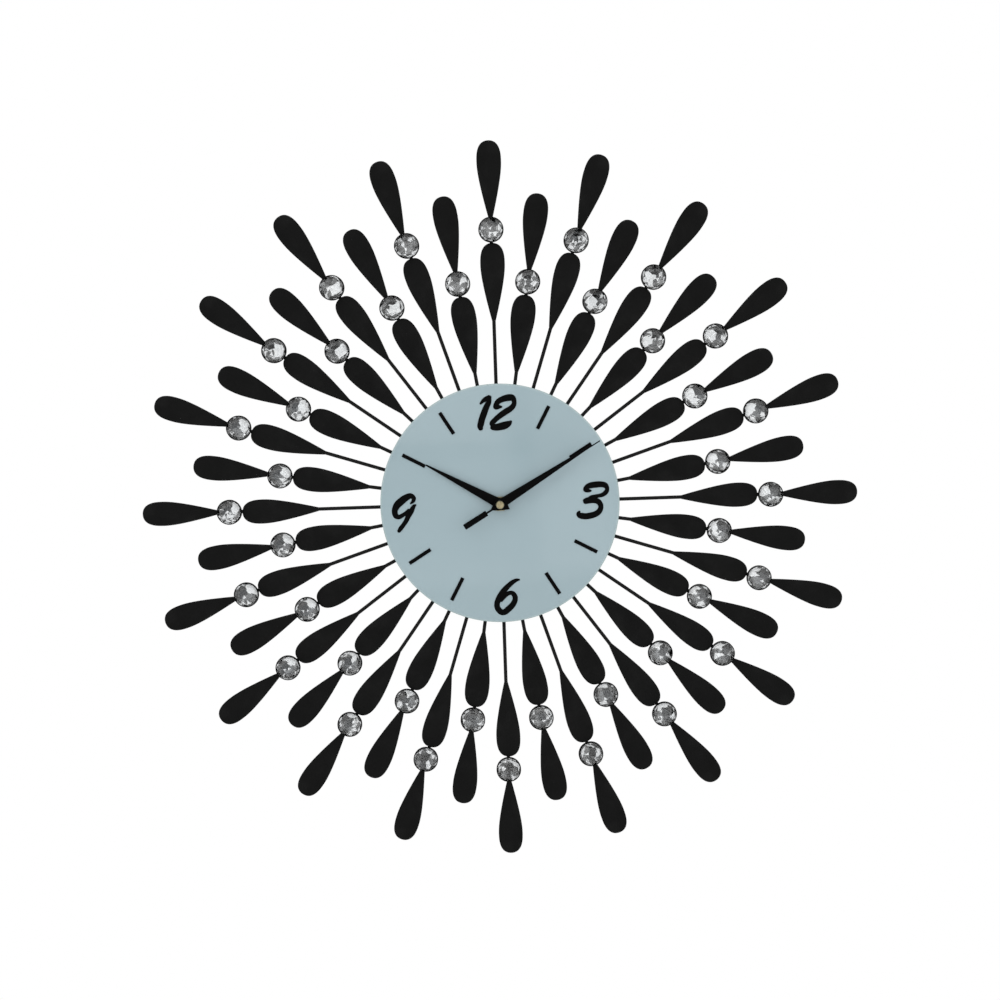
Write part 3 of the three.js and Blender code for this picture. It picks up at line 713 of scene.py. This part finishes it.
BRIGHT, GREY, DARK = 1, 2, 3  # the foils' numbers among a crystal's materials
PAINTED_REFLECTION_REACH, PAINTED_HIGHLIGHT_REACH = 0.38, 0.40  # sizes of the painted reflection and the painted highlight, in crystal radii
OUTER_RING = 0.62
SIDEWAYS = 0.45  # how far a ray has to lean before its crystal has the painted highlight
# the mixes scatter tones at random over the creases; their white and black foils are also painted
# reflections of the bright and dark room
RING_MIX = (BRIGHT, BRIGHT, GREY, GREY, GREY, DARK, DARK)
MIDDLE_MIX = (GREY, GREY, GREY, GREY, BRIGHT)


def foil_tone_and_painted_light(place, outer, draw):
    """The foil at a place in the upright crystal: a dark patch high up on the outer petal's side, a
    bright one high up on the inner petal's, and a mix elsewhere. The dark patch is a painted reflection
    of the petal and the bright one a painted highlight from above, fixed to the object so they don't move
    with the view."""
    up = Vector((0, 1))
    # where the painted reflection of the outer petal and the painted highlight from above sit
    painted_reflection_patch = 0.36 * up + 0.30 * outer
    painted_highlight_patch = 0.34 * up - 0.46 * outer
    if (place - painted_reflection_patch).length < PAINTED_REFLECTION_REACH:
        return DARK
    if abs(outer.x) > SIDEWAYS and (place - painted_highlight_patch).length < PAINTED_HIGHLIGHT_REACH:
        return BRIGHT
    return draw.choice(RING_MIX if place.length > OUTER_RING else MIDDLE_MIX)


def stitch(points, first, inner, second, outer, cup):
    """Triangles between two rings of points about (0, cup)."""

    def angle(i):
        return math.atan2(points[i][1] - cup, points[i][0]) % (2 * math.pi)

    low = sorted(range(first, first + inner), key=angle)
    high = sorted(range(second, second + outer), key=angle)
    faces = []
    i = j = 0
    while i < inner or j < outer:
        next_low = angle(low[(i + 1) % inner]) + (2 * math.pi if i + 1 >= inner else 0)
        next_high = angle(high[(j + 1) % outer]) + (2 * math.pi if j + 1 >= outer else 0)
        if j >= outer or (i < inner and next_low < next_high):
            faces.append([low[i % inner], high[j % outer], low[(i + 1) % inner]])
            i += 1
        else:
            faces.append([low[i % inner], high[j % outer], high[(j + 1) % outer]])
            j += 1
    return faces


def build_rays():
    step = 2 * math.pi / RAY_PAIRS
    # base is where each kind's seeds start
    for kind, tip, offset, base in (("long", LONG_TIP, 0, 100), ("short", SHORT_TIP, 0.5, 500)):
        for i in range(RAY_PAIRS):
            turn = (i + offset) * step
            name = f"{kind}_ray_{i + 1:02d}"
            ray_iron(tip, base + i).piece(
                f"{name}_iron", [IRON], slot="black_iron", replaces=[name], smooth=50, turn=turn
            )
            cup = ray_places(tip)[1]
            crystal(cup, base + i, turn).piece(
                f"{kind}_crystal_{i + 1:02d}",
                [CRYSTAL_GLASS, *CRYSTAL_FOILS],
                slot="crystal",
                smooth=0,
                turn=turn,
            )


# ---- the hub and the glass ----

POST_RADIUS = 2.6
POST_CIRCLE = 66
POSTS = 4


def post_places():
    """The axes of the posts, halfway between two neighbouring wires."""
    angles = [2 * math.pi * i / POSTS + math.pi / RAY_PAIRS / 2 for i in range(POSTS)]
    return [(POST_CIRCLE * math.cos(a), POST_CIRCLE * math.sin(a)) for a in angles]


def build_hub():
    back, front = depths("hub_pan")
    flange = WIRE_DEPTH - WIRE_RADIUS - 1.5
    sheet = 1.2
    solid = Solid()
    profile = [
        (4.3, back), (38.5, back), (40.0, back + 0.35), (41.2, back + 1.2),
        (45.9, flange - 0.9), (47.2, flange - 0.2), (48.8, flange), (79.2, flange),
        (79.8, flange + 0.25), (80.0, flange + 0.6), (79.8, flange + 0.95),
        (79.2, flange + sheet), (48.0, flange + sheet), (46.4, flange + sheet - 0.25),
        (45.2, flange + 0.1), (40.2, back + 2.0), (39.2, back + sheet + 0.25),
        (37.8, back + sheet), (4.3, back + sheet),
    ]
    lathe(solid, profile, 160)
    for at in post_places():
        post = [(0, flange + 0.9), (POST_RADIUS, flange + 0.9), (POST_RADIUS, front - 0.3)]
        post += [(POST_RADIUS - 0.3, front), (0, front)]
        lathe(solid, post, 24, at=at, closed=False)
    solid.piece("hub_dish", [HUB_IRON], slot="black_iron", replaces=["hub_pan"], smooth=35)
    for i, at in enumerate(post_places()):
        pad = [(0, front + 0.02), (3.6, front + 0.02), (3.8, front + 0.1), (3.8, GLASS_BACK - 0.06)]
        pad += [(3.7, GLASS_BACK - 0.02), (0, GLASS_BACK - 0.02)]
        lathe(Solid(), pad, 32, at=at, closed=False).piece(f"glass_pad_{i + 1}", [RUBBER], smooth=35)


def build_glass():
    bore = 4.4
    rim = DIAL_RADIUS
    profile = [
        (bore, GLASS_BACK), (rim - 0.6, GLASS_BACK), (rim - 0.15, GLASS_BACK + 0.2),
        (rim, GLASS_BACK + 0.6), (rim, GLASS_FRONT - 1.0), (rim - 0.12, GLASS_FRONT - 0.5),
        (rim - 0.5, GLASS_FRONT - 0.14), (rim - 1.0, GLASS_FRONT),
        (bore + 0.2, GLASS_FRONT), (bore, GLASS_FRONT - 0.2),
    ]
    finishes = [2, 1, 1, 1, 1, 0, 0, 0, 0, 0]
    lathe(Solid(), profile, 256, finishes=finishes).piece(
        "dial_glass_disc",
        [GLASS_FACE, GLASS_EDGE, GLASS_PAINT],
        slot="dial_glass",
        replaces=["dial_glass"],
        smooth=35,
    )


# ---- printed dial ----

# Brush strokes as (x, y, breadth) in millimetres from the hands' axis, with the dial's twelve upright.
STROKES = {
    "numeral_12_one": [
        [(-11.5, 85.3, 1.5), (-9.4, 87.3, 2.8), (-6.9, 89.1, 3.5), (-3.5, 91.5, 2.0)],
        [
            (-2.9, 91.3, 2.2), (-4.1, 86.6, 3.8), (-5.7, 83.8, 4.4), (-7.6, 80.1, 4.8),
            (-9.1, 76.6, 5.0), (-10.7, 72.9, 5.0), (-11.8, 69.4, 5.0), (-12.6, 66.3, 4.7),
            (-12.2, 63.8, 3.2),
        ],
    ],
    "numeral_12_two": [
        [
            (6.5, 81.8, 1.4), (3.4, 81.9, 3.6), (1.2, 81.9, 3.6), (1.9, 84.1, 3.8),
            (4.0, 86.6, 4.3), (7.8, 88.3, 4.7), (12.1, 89.1, 5.2), (15.9, 88.8, 4.8),
            (17.2, 85.5, 3.6), (16.5, 82.6, 3.9), (13.9, 79.9, 4.4), (10.3, 77.9, 4.7),
            (6.5, 75.7, 4.6), (2.8, 73.2, 4.2), (-0.7, 70.4, 4.0), (-2.6, 68.1, 4.0),
            (-2.7, 66.4, 2.4),
        ],
        [
            (-3.2, 65.9, 2.6), (-2.3, 65.2, 4.5), (0.9, 64.9, 5.3), (4.6, 65.3, 5.8),
            (8.4, 66.1, 5.8), (11.8, 67.6, 4.2), (13.8, 69.3, 1.6),
        ],
    ],
    "numeral_3": [
        [
            (77.8, 6.2, 1.6), (75.3, 6.5, 3.0), (73.1, 7.5, 3.6), (74.5, 9.6, 4.0),
            (77.5, 10.8, 4.6), (81.9, 11.2, 4.9), (86.3, 11.2, 4.6), (90.0, 10.1, 4.4),
            (91.5, 7.1, 3.2), (90.3, 4.3, 3.6), (86.9, 2.1, 3.2), (82.5, 1.4, 3.0),
            (78.1, 0.4, 3.8), (74.4, -0.9, 2.6),
        ],
        [
            (71.6, -2.6, 4.2), (75.0, -1.8, 5.0), (79.4, -1.9, 4.6), (83.1, -3.2, 4.4),
            (85.1, -6.0, 4.0), (85.1, -9.1, 4.0), (83.4, -11.9, 4.4), (80.3, -13.8, 4.6),
            (76.3, -14.8, 4.8), (71.9, -15.2, 4.8), (67.8, -14.3, 4.8), (66.3, -12.6, 4.0),
            (67.2, -10.4, 1.2),
        ],
    ],
    "numeral_6": [
        [
            (12.8, -65.9, 1.2), (9.9, -66.1, 2.6), (6.2, -67.9, 3.6), (2.8, -70.6, 4.0),
            (-0.7, -73.9, 4.4), (-3.8, -77.6, 4.6), (-6.3, -81.7, 4.6), (-7.8, -85.8, 4.4),
            (-7.3, -89.5, 4.4), (-4.8, -92.5, 4.6), (-1.6, -92.8, 4.7), (1.8, -90.4, 4.8),
            (5.3, -87.3, 4.6), (7.6, -83.6, 4.2), (7.9, -80.1, 4.0), (6.2, -77.3, 3.6),
            (3.7, -76.7, 3.2), (0.9, -77.8, 3.4), (-1.9, -80.1, 3.4), (-4.4, -82.9, 3.0),
        ]
    ],
    "numeral_9": [
        [
            (-75.9, 4.5, 1.2), (-73.4, 6.7, 2.8), (-72.8, 9.2, 3.4), (-75.4, 11.2, 4.2),
            (-79.5, 9.8, 5.2), (-83.3, 7.3, 5.8), (-87.0, 4.2, 5.6), (-89.3, 0.4, 4.8),
            (-89.6, -2.7, 4.4), (-88.6, -5.2, 4.2), (-86.1, -6.1, 3.6), (-82.6, -4.6, 3.2),
            (-79.5, -2.7, 3.0), (-77.3, -0.8, 3.0),
        ],
        [
            (-71.4, 3.4, 1.4), (-73.3, 2.0, 3.0), (-75.9, -2.1, 4.2), (-78.3, -5.8, 4.0),
            (-80.4, -9.6, 3.6), (-82.9, -13.0, 3.4), (-85.8, -16.4, 3.4),
            (-87.5, -18.6, 2.4),
        ],
    ],
}

STROKE_SWELL = 1.1  # the ink spreads this much past the breadths above
BRUSH_SECTION = (
    (-1, 0), (-1, 0.45), (-0.86, 0.78), (-0.5, 0.95), (0, 1), (0.5, 0.95), (0.86, 0.78),
    (1, 0.45), (1, 0),
)
BRUSH_ENDS = ((0.55, 0.25), (0.85, 0.1))  # a tip's share of the breadth, and its place beyond the end
PRINT_BACK = GLASS_FRONT + 0.01


def smooth_stroke(knots, pieces=7):
    """Points on a smooth curve through all the knots."""
    points = []
    last = len(knots) - 1
    for i in range(last):
        a, b, c, e = (Vector(knots[min(max(k, 0), last)]) for k in (i - 1, i, i + 1, i + 2))
        for k in range(pieces):
            t = k / pieces
            spread = 2 * b + (c - a) * t + (2 * a - 5 * b + 4 * c - e) * t * t
            points.append((spread + (3 * b - a - 3 * c + e) * t * t * t) / 2)
    points.append(Vector(knots[-1]))
    return points


def brush(solid, knots):
    """A stroke of thick ink: a low domed band that swells and narrows."""
    centre = smooth_stroke(knots)
    first = (centre[1] - centre[0]).to_2d().normalized()
    final = (centre[-1] - centre[-2]).to_2d().normalized()
    stations = [(centre[0], s, first * -beyond * centre[0][2]) for s, beyond in BRUSH_ENDS]
    stations += [(point, 1, Vector((0, 0))) for point in centre]
    stations += [(centre[-1], s, final * beyond * centre[-1][2]) for s, beyond in reversed(BRUSH_ENDS)]
    points = []
    for n, (point, share, slip) in enumerate(stations):
        before = stations[max(n - 1, 0)]
        after = stations[min(n + 1, len(stations) - 1)]
        along = (after[0].to_2d() + after[2]) - (before[0].to_2d() + before[2])
        along = along.normalized() if along.length > 1e-6 else first
        across = Vector((along.y, -along.x))
        half = point[2] / 2 * share * STROKE_SWELL
        for u, rise in BRUSH_SECTION:
            place = point.to_2d() + slip + across * half * u
            points.append((place.x, place.y, PRINT_BACK + PRINT_HEIGHT * rise))
    rows, width = len(stations), len(BRUSH_SECTION)
    ends = [list(range(width)), list(range((rows - 1) * width, rows * width))[::-1]]
    return solid.add(points, ends + bands(rows, width))


def build_print():
    for name, strokes in STROKES.items():
        solid = Solid()
        for knots in strokes:
            brush(solid, knots)
        solid.piece(name, [PRINT], slot="dial_print", smooth=60, turn=PRINT_ROLL)
    half = BAR_WIDTH / 2
    front = GLASS_FRONT + PRINT_HEIGHT
    for hour in (1, 2, 4, 5, 7, 8, 10, 11):
        bar = Solid()
        rounded_box(bar, -half, half, BAR_INNER, BAR_OUTER, PRINT_BACK, front, 0.35, 0.16)
        turn = math.radians(30 * hour) + PRINT_ROLL
        bar.piece(f"hour_bar_{hour}", [PRINT], slot="dial_print", smooth=40, turn=turn)


# ---- hands ----


def blade(length, tail, width, tip, widest):
    """A tapered hand's outline along +y, anticlockwise from its pointed tail."""
    return [(0, -tail), (width / 2, widest), (tip / 2, length), (-tip / 2, length), (-width / 2, widest)]


def disc(solid, radius, d0, d1, bevel):
    profile = [(0, d0), (radius - bevel, d0), (radius, d0 + bevel), (radius, d1 - bevel)]
    profile += [(radius - bevel * 0.3, d1 - bevel * 0.3), (radius - bevel, d1), (0, d1)]
    return lathe(solid, profile, 72, closed=False)


def build_hand(name, node, body, outline, depth, boss, pipe, turn):
    """A hand with its back at the given depth, a round boss, and a brass collar on its pipe."""
    solid = Solid()
    slab(solid, outline, depth, depth + 0.5, 0.14)
    disc(solid, boss, depth - 0.08, depth + 0.56, 0.14)
    ring = [
        (pipe + 0.08, depth - 1.4), (pipe + 0.85, depth - 1.4), (pipe + 1.0, depth - 1.25),
        (pipe + 1.0, depth + 0.75), (pipe + 0.85, depth + 0.9), (pipe + 0.08, depth + 0.9),
    ]
    lathe(solid, ring, 48, finish=1)
    solid.piece(name, [ENAMEL, BRASS], body=body, slot="hand_enamel", replaces=[node], smooth=35, turn=turn)


def build_second_hand():
    """The needle with its weight on the tail, and the turned brass cap over the middle."""
    turn = SECOND_HAND_ANGLE
    back, front = depths("second_hand")
    needle = [(-0.85, -13.6), (0.85, -13.6), (0.5, 99.4), (0, 99.8), (-0.5, 99.4)]
    solid = Solid()
    slab(solid, needle, SECOND_DEPTH, SECOND_DEPTH + 0.45, 0.1)
    right = [(1.9, -35.6), (2.5, -35.1), (2.4, -13.4), (2.0, -13.2)]
    weight = right + [(-x, y) for x, y in reversed(right)]
    slab(solid, weight, SECOND_DEPTH, SECOND_DEPTH + 0.5, 0.14)
    solid.piece("second_hand_needle", [ENAMEL], "seconds", "hand_enamel", ["second_hand"], 35, turn)
    cap = Solid()
    profile = [
        (0.6, back), (2.8, back), (3.35, back + 0.25), (3.5, back + 0.7),
        (3.5, front - 1.3), (3.36, front - 0.75), (3.05, front - 0.35),
        (2.65, front - 0.22), (2.35, front - 0.4), (2.2, front - 0.42), (1.2, front - 0.1),
        (0, front),
    ]
    lathe(cap, profile, 72, closed=False)
    cap.piece("second_hand_cap", [BRASS], "seconds", "brass", (), 30, turn)


NUT_FLATS = 12
NO_LIMIT = 99  # a row that keeps its full hexagon


def build_nut():
    """A brass hexagon nut, its corners turned off at the front, with its bore."""
    back, front = depths("hex_nut")
    flat = NUT_FLATS / 2
    solid = Solid()
    sides = 96
    rows = []
    levels = [
        (4.15, back), (NO_LIMIT, back), (NO_LIMIT, front - 0.45), (flat * 1.03, front),
        (4.7, front), (4.15, front - 0.4),
    ]
    for limit, depth in levels:
        row = []
        for k in range(sides):
            angle = 2 * math.pi * k / sides
            corner = (angle + math.pi / 6) % (math.pi / 3) - math.pi / 6
            radius = min(limit, flat / math.cos(corner))
            row.append((radius * math.sin(angle), radius * math.cos(angle), depth))
        rows.append(row)
    last = (len(rows) - 1) * sides
    bore = [[last + k, last + (k + 1) % sides, (k + 1) % sides, k] for k in range(sides)]
    solid.add([p for row in rows for p in row], bands(len(rows), sides) + bore)
    solid.piece("brass_nut", [BRASS], slot="brass", replaces=["hex_nut"], smooth=30)


# ---- the movement's outside ----

CONTACT_PLACE = 26.3  # of each battery contact along x, from the clock's middle
SPRING_STEPS = 24
STEPS_PER_COIL = 12
SPRING_WIRE_RADIUS = 0.22

BEVELLED_BEND = math.radians(35)  # edges that bend more than this are rounded off


def softened(node, name, material, bevel, body="root"):
    """A copy of a node with its flat faces joined up and its edges rounded off."""
    mesh = nodes[node].data.copy()
    mesh.name = name
    made = bmesh.new()
    made.from_mesh(mesh)
    bmesh.ops.remove_doubles(made, verts=made.verts, dist=2e-6)
    bmesh.ops.dissolve_limit(made, angle_limit=math.radians(1), verts=made.verts, edges=made.edges)
    sharp = [e for e in made.edges if e.is_manifold and e.calc_face_angle(0) > BEVELLED_BEND]
    bmesh.ops.bevel(
        made,
        geom=sharp,
        offset=bevel * MM,
        segments=2,
        profile=0.5,
        affect="EDGES",
        clamp_overlap=True,
    )
    bmesh.ops.recalc_face_normals(made, faces=made.faces)
    made.to_mesh(mesh)
    made.free()
    mesh.materials.clear()
    mesh.materials.append(material)
    mesh.shade_smooth()
    mesh.set_sharp_from_angle(angle=math.radians(30))
    return settle(name, mesh, body, [node])


def build_movement():
    softened("movement_case", "movement_case_shell", CASE, 0.35)
    softened("movement_cover", "movement_back_cover", COVER, 0.2)
    softened("setting_knob", "setting_knob_grip", NYLON, 0.12, body="knob")


def build_battery():
    """The AA cell lying along x, with its cap at +x, and the two contacts that stay in the bay."""
    low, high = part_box("battery")
    centre = (low + high) / 2
    x, y, d = centre[0] / MM, centre[2] / MM, -centre[1] / MM
    profile = [
        (-25.15, 0), (-25.15, 4.4), (-24.9, 4.9), (-25.0, 5.6), (-24.95, 6.5),
        (-24.4, 7.05), (23.1, 7.1), (23.8, 6.9), (23.95, 6.4), (23.7, 5.6), (23.85, 2.8),
        (24.9, 2.6), (25.15, 2.2), (25.15, 0),
    ]
    finishes = [1, 1, 1, 1, 0, 0, 0, 0, 1, 1, 1, 1, 1]
    cell = lathe(Solid(), [(r, a) for a, r in profile], 64, closed=False, finishes=finishes)
    for p in cell.points:
        across, up, along = p
        p.x, p.y, p.z = along + x, up + y, across + d
    cell.piece("battery_cell", [WRAP, NICKEL], "battery", "battery_wrap", ["battery"], 30)
    turns = [
        (
            -CONTACT_PLACE - 0.2 + 0.95 * t / SPRING_STEPS,
            y + (4.2 - 1.6 * t / SPRING_STEPS) * math.cos(2 * math.pi * t / STEPS_PER_COIL),
            d + (4.2 - 1.6 * t / SPRING_STEPS) * math.sin(2 * math.pi * t / STEPS_PER_COIL),
        )
        for t in range(SPRING_STEPS + 1)
    ]
    spring = tube(Solid(), turns, [SPRING_WIRE_RADIUS] * len(turns), 8)
    spring.piece("battery_spring", [NICKEL], "root", "steel", (), 40)
    left, right = CONTACT_PLACE - 0.1, CONTACT_PLACE + 0.25
    plate = rounded_box(Solid(), left, right, y - 4, y + 4, d - 6, d + 3.5, 0.1, 0.05)
    plate.piece("battery_plate", [NICKEL], "root", "steel", (), 40)


def paint_inner_nodes():
    """The train inside the case keeps its CAD shapes."""
    finishes = {
        "rotor": NYLON,
        "intermediate_wheel": NYLON,
        "seconds_wheel": NYLON,
        "third_wheel": NYLON,
        "centre_wheel": NYLON,
        "minute_pipe": BRASS,
        "minute_wheel": NYLON,
        "hour_wheel": NYLON,
        "stator": STEEL,
        "coil": COPPER,
    }
    for node, material in finishes.items():
        data = nodes[node].data
        data.materials.clear()
        data.materials.append(material)


# ---- stage ----

VIEW_WIDTH = 0.8530  # what the picture shows across, at the rays
CAMERA_DISTANCE = 1.24
CAMERA_ROLL = math.radians(1.9)
CAMERA_RISE = math.radians(4.3)
CAMERA_AIM = Vector((0.0001, -0.0285, 0.0026))  # a little above the hands' axis
SENSOR = 36.0


def build_camera():
    data = bpy.data.cameras.new("camera")
    data.sensor_width = SENSOR
    data.lens = SENSOR * CAMERA_DISTANCE / VIEW_WIDTH
    camera = bpy.data.objects.new("camera", data)
    bpy.context.scene.collection.objects.link(camera)
    back = Vector((0, -math.cos(CAMERA_RISE), math.sin(CAMERA_RISE)))
    up = Vector((0, math.sin(CAMERA_RISE), math.cos(CAMERA_RISE)))
    right = up.cross(back)
    turned_up = up * math.cos(CAMERA_ROLL) + right * math.sin(CAMERA_ROLL)
    turned_right = turned_up.cross(back)
    place = CAMERA_AIM + back * CAMERA_DISTANCE
    rows = Matrix((turned_right, turned_up, back)).transposed().to_4x4()
    camera.matrix_world = Matrix.Translation(place) @ rows
    data.clip_end = 50
    bpy.context.scene.camera = camera


ROOM_STOPS = ((0.0, 0.55), (0.5, 0.75), (0.7, 0.5), (0.88, 0.34), (1.0, 0.3))  # front-ness, brightness
ROOM_STRENGTH = 1.35
PATCH_SCALE = 3.2
PATCH_EDGE = (0.30, 0.36)  # where a patch of unlit room ends
PATCH_LEVELS = (0.05, 1.45)  # how bright the room is inside and outside a patch


def build_world():
    """White all round as seen, and for light and reflections a studio: brighter sides, a dimmer front."""
    world = bpy.data.worlds.new("studio")
    bpy.context.scene.world = world
    world.use_nodes = True
    tree = world.node_tree
    tree.nodes.clear()
    link = tree.links.new

    def add(kind, **values):
        return add_node(tree, kind, **values)

    direction = add("ShaderNodeTexCoord").outputs["Generated"]
    parts = add("ShaderNodeSeparateXYZ")
    link(direction, parts.inputs[0])
    # front-ness: 1 towards the reader, -1 into the wall
    front = add("ShaderNodeMath", operation="MULTIPLY")
    front.inputs[1].default_value = -1
    link(parts.outputs[1], front.inputs[0])
    room = add("ShaderNodeValToRGB")
    set_stops(room.color_ramp, [(position, (level,) * 3) for position, level in ROOM_STOPS])
    link(front.outputs[0], room.inputs["Fac"])
    # patches of unlit room between the lamps
    patches = add("ShaderNodeTexVoronoi")
    patches.inputs["Scale"].default_value = PATCH_SCALE
    link(direction, patches.inputs["Vector"])
    shade = add("ShaderNodeMapRange")
    shade.inputs["From Min"].default_value, shade.inputs["From Max"].default_value = PATCH_EDGE
    shade.inputs["To Min"].default_value, shade.inputs["To Max"].default_value = PATCH_LEVELS
    link(patches.outputs["Distance"], shade.inputs["Value"])
    lit = add("ShaderNodeMix", data_type="RGBA", blend_type="MULTIPLY")
    lit.inputs["Factor"].default_value = 1.0
    link(room.outputs["Color"], lit.inputs[6])
    link(shade.outputs["Result"], lit.inputs[7])
    studio = add("ShaderNodeBackground")
    studio.inputs["Strength"].default_value = ROOM_STRENGTH
    link(lit.outputs[2], studio.inputs["Color"])
    white = add("ShaderNodeBackground")
    white.inputs["Color"].default_value = (1, 1, 1, 1)
    seen = add("ShaderNodeLightPath").outputs["Is Camera Ray"]
    choose = add("ShaderNodeMixShader")
    link(seen, choose.inputs["Fac"])
    link(studio.outputs[0], choose.inputs[1])
    link(white.outputs[0], choose.inputs[2])
    out = add("ShaderNodeOutputWorld")
    link(choose.outputs[0], out.inputs["Surface"])


def build_light(name, place, size, power, color=(1, 1, 1)):
    data = bpy.data.lights.new(name, "AREA")
    data.shape = "RECTANGLE"
    data.size, data.size_y = size
    data.energy = power
    data.color = color
    light = bpy.data.objects.new(name, data)
    bpy.context.scene.collection.objects.link(light)
    light.location = place
    light.rotation_euler = (Vector((0, 0, 0)) - Vector(place)).to_track_quat("-Z", "Y").to_euler()


def build_floor():
    """A pale plane below the clock. Its far edge stays under the front view and shows from above."""
    n = Nodes("studio_floor")
    n.set(Base_Color=n.ramp(n.noise(3, 3), [(0.3, (0.80, 0.80, 0.79)), (0.7, (0.84, 0.84, 0.83))]))
    n.set(Roughness=0.7)
    mesh = bpy.data.meshes.new("studio_floor")
    half, near, far, level = 2.0, -3.0, 0.5, -0.75
    corners = [(-half, near, level), (half, near, level), (half, far, level), (-half, far, level)]
    mesh.from_pydata(corners, [], [(0, 1, 2, 3)])
    mesh.materials.append(n.material)
    floor = bpy.data.objects.new("studio_floor", mesh)
    bpy.context.scene.collection.objects.link(floor)


build_camera()
build_rays()
build_hub()
build_glass()
build_print()
build_hand(
    "hour_hand_blade",
    node="hour_hand",
    body="hours",
    outline=blade(length=70.7, tail=9.6, width=9.1, tip=1.3, widest=-3),
    depth=HOUR_DEPTH,
    boss=5.2,
    pipe=2.5,
    turn=HOUR_HAND_ANGLE,
)
build_hand(
    "minute_hand_blade",
    node="minute_hand",
    body="minutes",
    outline=blade(length=92, tail=9.8, width=8.4, tip=1.4, widest=-3),
    depth=MINUTE_DEPTH,
    boss=4.6,
    pipe=1.5,
    turn=MINUTE_HAND_ANGLE,
)
build_second_hand()
build_nut()
build_movement()
build_battery()
paint_inner_nodes()
build_world()
build_floor()
build_light("key", (-0.9, -2.0, 1.3), (2.6, 2.2), 17.5)
build_light("fill", (1.2, -1.8, 0.2), (2.2, 1.8), 8)
build_light("low_fill", (-0.3, -1.8, -0.25), (2.2, 0.8), 3.5, (0.9, 0.95, 1.0))
bpy.context.scene.view_settings.view_transform = "Standard"
